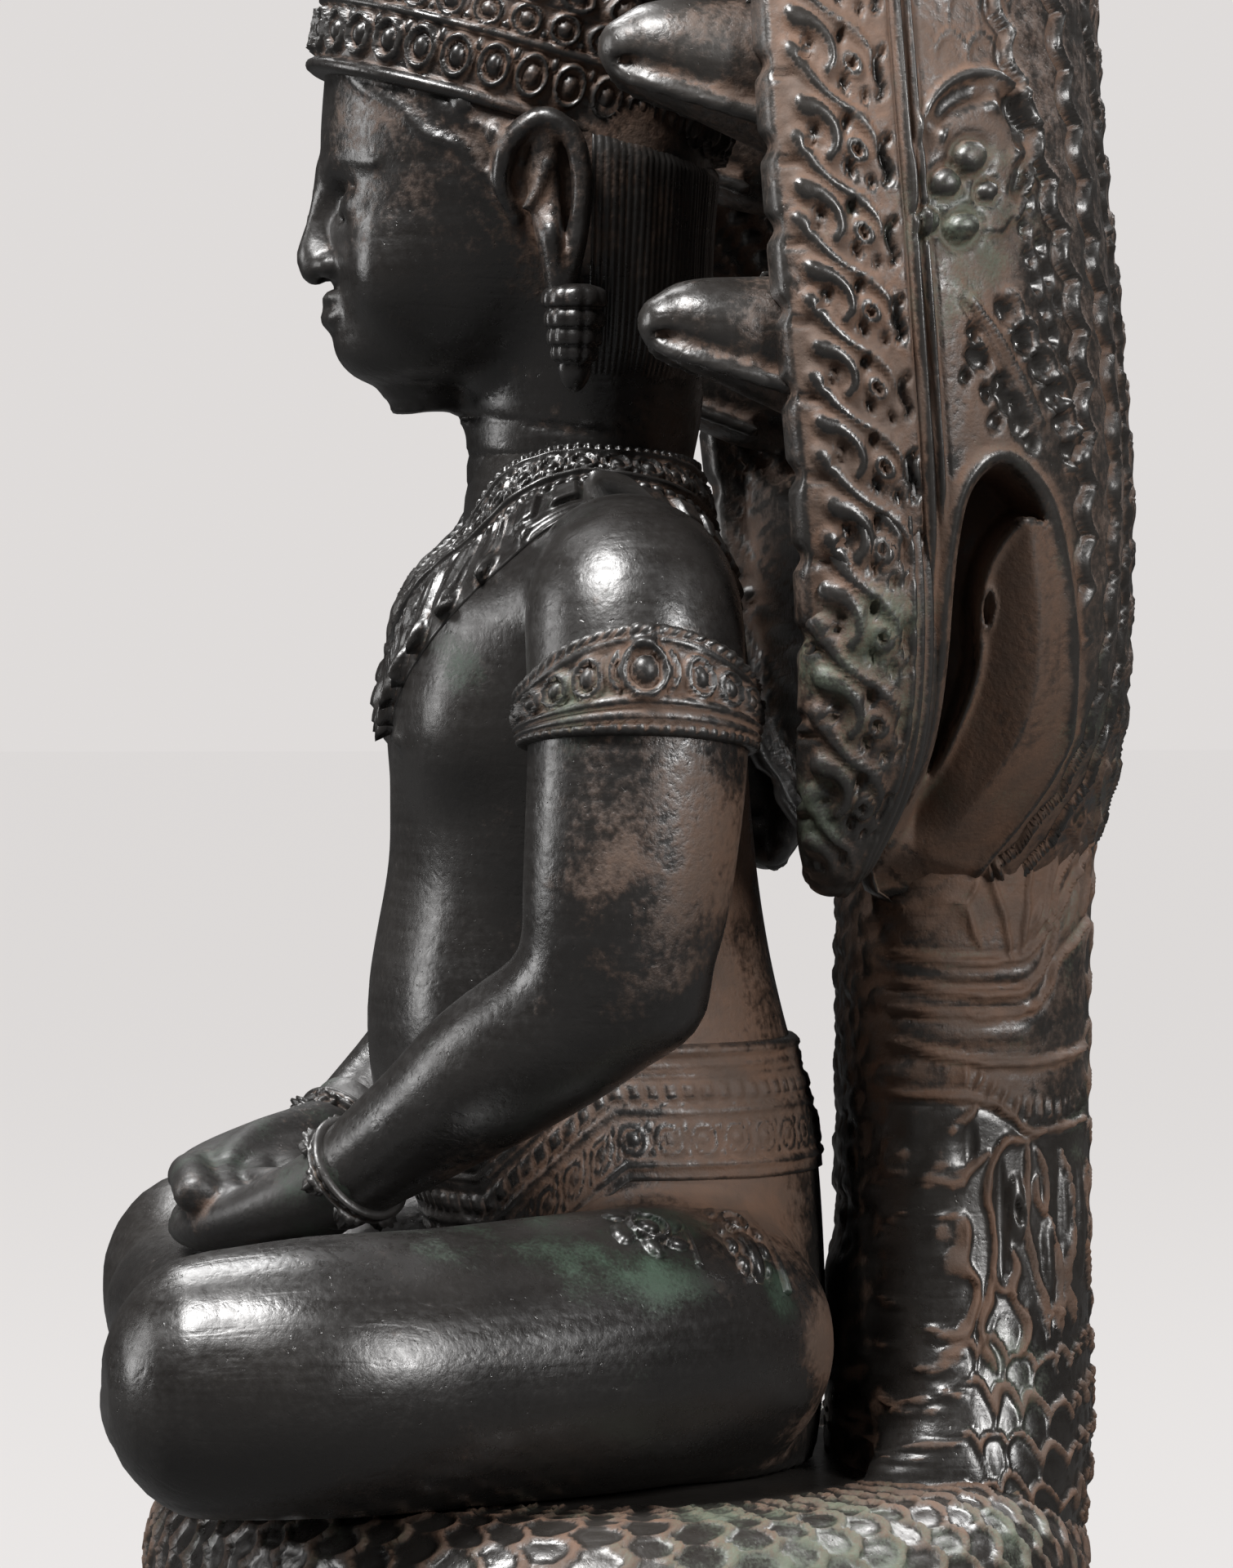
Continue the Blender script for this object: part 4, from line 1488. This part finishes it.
def patch(name, centre, outward, wide, tall, relief):
    """Both sides' ornament on the body: relief over a small upright grid that faces outward."""
    step = 0.5
    outward = np.array(outward, float) / np.linalg.norm(outward)
    across = np.cross((0, 0, 1), outward)
    across /= np.linalg.norm(across)
    up = np.cross(outward, across)
    u = np.linspace(-wide / 2, wide / 2, int(wide / step))
    v = np.linspace(-tall / 2, tall / 2, int(tall / step))
    v, u = np.meshgrid(v, u, indexing="ij")
    start = np.array(centre) * UNIT + u[..., None] * across + v[..., None] * up
    base = laid(body_tree, start, np.broadcast_to(outward, start.shape), 60)
    points = (start + outward * (base + sunk_edges(relief(u, v), 1.5))[..., None]).reshape(-1, 3)
    faces = grid_faces(*u.shape, wrap_cols=False)
    place(name + "_left", points, faces, skin_bronze, FIGURE, 0.7)
    place(name + "_right", points * [-1, 1, 1], faces[:, ::-1], skin_bronze, FIGURE, 0.7)


def hip_flower(u, v):
    """A round flower in a wreath of petals."""
    h = np.full(u.shape, -1.0)
    for turn in np.radians([-150, -95, -40, 20, 80, 140, 195]):
        petal = oval(u - 6.2 * np.cos(turn), v - 5.4 * np.sin(turn), 3.0, 2.0, 2.2, turn + 0.5)
        h = np.maximum(h, petal - 0.5)
    return np.maximum(h, framed_oval(u, v, 4.4, 4.2, 3.0))


def hip_leaf(u, v):
    """A hanging ornament: a round flower, a long drop below it and curls beside them."""
    h = np.maximum(np.full(u.shape, -1.0), oval(u, v + 3.4, 2.3, 6.6, 3.2))
    for up, out, turn in ((8.6, 2.6, 0.9), (3.0, 4.4, 0.4), (-1.6, 3.9, 0.2), (-6.2, 3.0, 0.0)):
        for side in (1, -1):
            h = np.maximum(h, oval(u - side * out, v - up, 1.5, 2.4, 2.2, side * turn) - 0.3)
    return np.maximum(h, framed_oval(u, v - 5.4, 3.2, 3.0, 3.0))


def crown_point(angle, radius, height):
    """A point of the crown, from its own level ring turned to its tilt."""
    tilt, share = CROWN_RING["tilt"], CROWN_RING["wide"] / CROWN_RING["deep"]
    x = radius * share * np.cos(angle)
    back = radius * np.sin(angle)
    c, s = math.cos(tilt), math.sin(tilt)
    y = back * c - height * s + CROWN_RING["y"]
    z = back * s + height * c + CROWN_RING["z"]
    return np.stack(np.broadcast_arrays(x, y, z), -1) * UNIT


def crown():
    low, top, thickness = -0.8, 20.6, 2.6
    angle = even_angles(471, CROWN_RING["wide"], CROWN_RING["deep"], -0.5 * np.pi, 1.5 * np.pi)[:-1]
    front = 0.5 - 0.5 * np.sin(angle)
    level = np.linspace(low, top, 40)[:, None] + 0 * angle
    base = 40.3 + 0.085 * np.clip(level - 2, 0, 20)
    ring = crown_point(angle, base, level)
    wide, petal_wide = 7.4, 9.0
    ovals, petals = round_way(ring, wide), round_way(ring, petal_wide)
    on, between = repeat(ovals, wide), repeat(ovals, wide, 0.5)
    h = fillet(level, 0.7, 1.4, 1.6)
    h += framed_oval(on, level - 7.4, 3.2, 4.5, 2.3) * (level > 2.4)
    h += oval(between, level - 10.6, 0.8, 1.5, 1.2)
    h += fillet(level, 13.3, 0.95, 1.5)
    h += framed_oval(between, level - 17.4, 3.0, 3.2, 1.7) + oval(on, level - 15.4, 0.8, 0.9, 1.0)
    edge = 22.4 + 3.6 * front + 4.2 * np.abs(np.cos(np.pi * petals))**0.7
    rise = np.linspace(0, 1, 12)[1:, None]
    boss = 1.5 * framed_oval(repeat(petals, petal_wide), (rise - 0.5) * 6.5, 3.4, 3.0, 1.0)
    outside = np.vstack([base + h, 42.3 + 0.4 * rise - 0.5 * rise**3 + boss])
    level = np.vstack([level, top + (edge - top) * rise])
    rows = [crown_point(angle, 36.0, level[0])] + [crown_point(angle, r, z) for r, z in zip(outside, level)]
    rows.append(crown_point(angle, outside[-1] - 1.2, level[-1] + 0.5))
    rows.append(crown_point(angle, outside[-1] - thickness, level[-1] - 0.2))
    rows.append(crown_point(angle, 37.0, level[-1] * 0.5 + 7))
    place_closed("crown", capped(np.array(rows)), skin_bronze, FIGURE, 0.7)


def profile_grid(profile, rows, cols):
    """A smooth profile [radius, z] in rows, and the angles of its cols: radius, z and angle."""
    radius, z = catmull(profile, np.linspace(0, 1, rows)).T[..., None]
    return radius, z, 2 * np.pi * np.arange(cols) / cols


def turned(radius, z, angle, x, y, flatness):
    """A closed mesh of rings round an upright line at x and y, narrower from side to side by flatness."""
    rings = np.broadcast_arrays(x + flatness * radius * np.cos(angle), y + radius * np.sin(angle), z)
    return capped(np.stack(rings, -1) * UNIT)


def cone():
    flutes, foot_of_bud = 42, 314
    radius, z, angle = profile_grid([
        (31.2, 258), (31, 270), (30.7, 281), (30, 292), (28.7, 298), (26.5, 304), (23.8, 309),
        (20.5, foot_of_bud),
    ], 28, 8 * flutes)
    ripple = np.abs(np.cos(angle * flutes / 2))**0.8
    bands = bell(z, 309, 1.3) + bell(z, 303.5, 1.0)
    r = radius * (0.955 + 0.045 * ripple) + 0.9 * bands
    place_closed("crown_cone", turned(r, z, angle, 0, CROWN_RING["y"], 0.9), skin_bronze, FIGURE, 0.7)
    radius, z, angle = profile_grid([
        (16, -3), (22, -2.6), (23.2, -1), (23.2, 1), (21.6, 2.4), (17, 3), (16.4, 4.4), (16.8, 6),
        (15.4, 7.4), (11.6, 9), (10.8, 10.6), (11.2, 12), (9.6, 13.4), (5.6, 14.6), (5.4, 16),
        (6.8, 18.6), (6.2, 21.4), (3.4, 24.2), (0.6, 25.9),
    ], 56, 80)
    petal = 0.6 * np.abs(np.cos(angle * 10)) * (np.sin(z * 0.9) > 0)
    bud = turned(radius + petal * smooth(0, 6, radius), foot_of_bud + z, angle, 0, CROWN_RING["y"], 1)
    place_closed("crown_bud", bud, skin_bronze, FIGURE, 0.7)


def hair():
    angle = np.radians(np.linspace(2, 178, 360))
    rows = np.linspace(0, 1, 19)[:, None]
    middle, nape = -8, 203.5
    back_of_head = middle + 26 * np.sin(angle)
    under_crown = CROWN_RING["z"] + 1.5 + math.tan(CROWN_RING["tilt"]) * (back_of_head - CROWN_RING["y"])
    z = (nape + (under_crown - nape) * rows) * UNIT
    way = np.stack([np.cos(angle), np.sin(angle), 0 * angle], -1) * np.ones((len(z), 1, 1))
    start = np.zeros(way.shape)
    start[..., 1] = middle * UNIT
    start[..., 2] = z
    base = laid(head_tree, start, way, 80)
    s = angle * 32
    h = 0.7 + 0.3 * np.abs(np.cos(np.pi * s / 1.45))**0.7 + 0.14 * np.sin(s * 0.9 + z / 11)
    low = smooth(0.30, 0.02, rows)
    h = sunk_edges(h * (1 - low) + (0.4 - 1.4 * low) * low, 0.8)
    points = start + way * (base + h)[..., None]
    place("hair", points.reshape(-1, 3), grid_faces(*h.shape, wrap_cols=False), skin_bronze, FIGURE, 0.6)


def earrings():
    radius, z, angle = profile_grid([
        (2.4, 227.5), (5.2, 226.6), (6.0, 225), (5.9, 223.4), (4.9, 222.8), (5.5, 221.4), (5.4, 219.6),
        (4.7, 219), (5.0, 217.8), (4.9, 216.2), (4.2, 215.6), (4.3, 214.4), (4.0, 213.2), (3.2, 212.6),
        (3.2, 211.2), (2.6, 209.2), (1.5, 207.6), (0.4, 206.9),
    ], 54, 66)
    ridge = 0.45 * np.abs(np.cos(angle * 5.5)) * (z > 212.5)
    mesh = turned(radius + ridge, z, angle, 36.2, -10.2, 0.8)
    place_closed("earring_left", mesh, skin_bronze, FIGURE, 0.6)
    place_closed("earring_right", mirrored(mesh), skin_bronze, FIGURE, 0.6)


CROWN_RING = {"y": -20.2, "z": 260, "wide": 34, "deep": 40.5, "tilt": -0.272}
body_tree = BVHTree.FromPolygons(body_points.tolist(), body_faces.tolist())
head_tree = BVHTree.FromPolygons(head_points.tolist(), head_faces.tolist())
bust_faces = body_faces.tolist() + (head_faces + len(body_points)).tolist()
bust_tree = BVHTree.FromPolygons(np.vstack([body_points, head_points]).tolist(), bust_faces)
collar()
armlets()
bracelets()
belt()
patch("hip_flower", (30, -7.2, 27.5), (1, 0.2, 0.55), 18, 18, hip_flower)
patch("hip_leaf", (30, 9.7, 30.2), (1, 0.35, 0.55), 15, 22, hip_leaf)
crown()
cone()
hair()
earrings()

# Camera, light and floor

TARGET = Vector((0.0, 0.0006, (SEAT + 131.6) / 1000))
PICTURE_HEIGHT = 0.3072
DISTANCE = 1.4
SENSOR = 36
AZIMUTH, ELEVATION = math.radians(86), math.radians(1.5)
LIT_PLACE = (0, 0, 0.28)
PALE = (0.74, 0.715, 0.705, 1)
STUDIO_GLOW = 0.07


def add_object(name, data, at=(0, 0, 0), target=None):
    """A new object, turned to look at its target."""
    thing = bpy.data.objects.new(name, data)
    bpy.context.scene.collection.objects.link(thing)
    thing.location = at
    if target is not None:
        thing.rotation_euler = (Vector(target) - thing.location).to_track_quat("-Z", "Y").to_euler()
    return thing


camera_data = bpy.data.cameras.new("camera")
camera_data.sensor_width = SENSOR
camera_data.lens = SENSOR * DISTANCE / PICTURE_HEIGHT
level = math.cos(ELEVATION)
outward = Vector((math.sin(AZIMUTH) * level, -math.cos(AZIMUTH) * level, math.sin(ELEVATION)))
bpy.context.scene.camera = add_object("camera", camera_data, TARGET + DISTANCE * outward, TARGET)


def softbox(name, at, size, power):
    data = bpy.data.lights.new(name, "AREA")
    data.shape = "RECTANGLE"
    data.size, data.size_y = size
    data.energy = power
    add_object(name, data, at, LIT_PLACE)


softbox("key", (0.66, -0.72, 1.72), (0.66, 0.66), 64)
softbox("right", (1.24, 1.00, 0.84), (0.26, 0.70), 23)
softbox("left", (-0.25, -1.65, 0.60), (0.45, 0.90), 9)
softbox("back", (-0.90, 1.10, 1.55), (0.70, 0.70), 28)
softbox("far_side", (-1.00, -0.50, 1.75), (0.60, 0.70), 20)


def studio():
    """A pale world for the camera's eye, and a dim one for the metal."""
    world = bpy.data.worlds.new("studio")
    world.use_nodes = True
    tree = world.node_tree
    seen = tree.nodes["Background"]
    seen.inputs["Color"].default_value = PALE
    dim = add_node(tree, "ShaderNodeBackground", {"Color": PALE, "Strength": STUDIO_GLOW})
    is_seen = add_node(tree, "ShaderNodeLightPath", {}, "Is Camera Ray")
    either = add_node(tree, "ShaderNodeMixShader", {0: is_seen, 1: dim, 2: seen.outputs[0]})
    tree.links.new(either, tree.nodes["World Output"].inputs["Surface"])
    bpy.context.scene.world = world
    bpy.context.scene.view_settings.view_transform = "Standard"


def floor():
    reach = 12.0
    mesh = bpy.data.meshes.new("floor")
    corners = [(-reach, -reach, 0), (reach, -reach, 0), (reach, reach, 0), (-reach, reach, 0)]
    mesh.from_pydata(corners, [], [(0, 1, 2, 3)])
    material = bpy.data.materials.new("pale_floor")
    material.use_nodes = True
    tree = material.node_tree
    is_seen = add_node(tree, "ShaderNodeLightPath", {}, "Is Camera Ray")
    glow = {"Value": is_seen, "To Min": 0.05, "To Max": 0.97}
    shader = tree.nodes["Principled BSDF"]
    tree.links.new(add_node(tree, "ShaderNodeMapRange", glow, "Result"), shader.inputs["Emission Strength"])
    for key, value in (("Base Color", (0.05, 0.05, 0.05, 1)), ("Roughness", 1.0),
                       ("Specular IOR Level", 0.0), ("Emission Color", PALE)):
        shader.inputs[key].default_value = value
    mesh.materials.append(material)
    thing = add_object("floor", mesh)


studio()
floor()
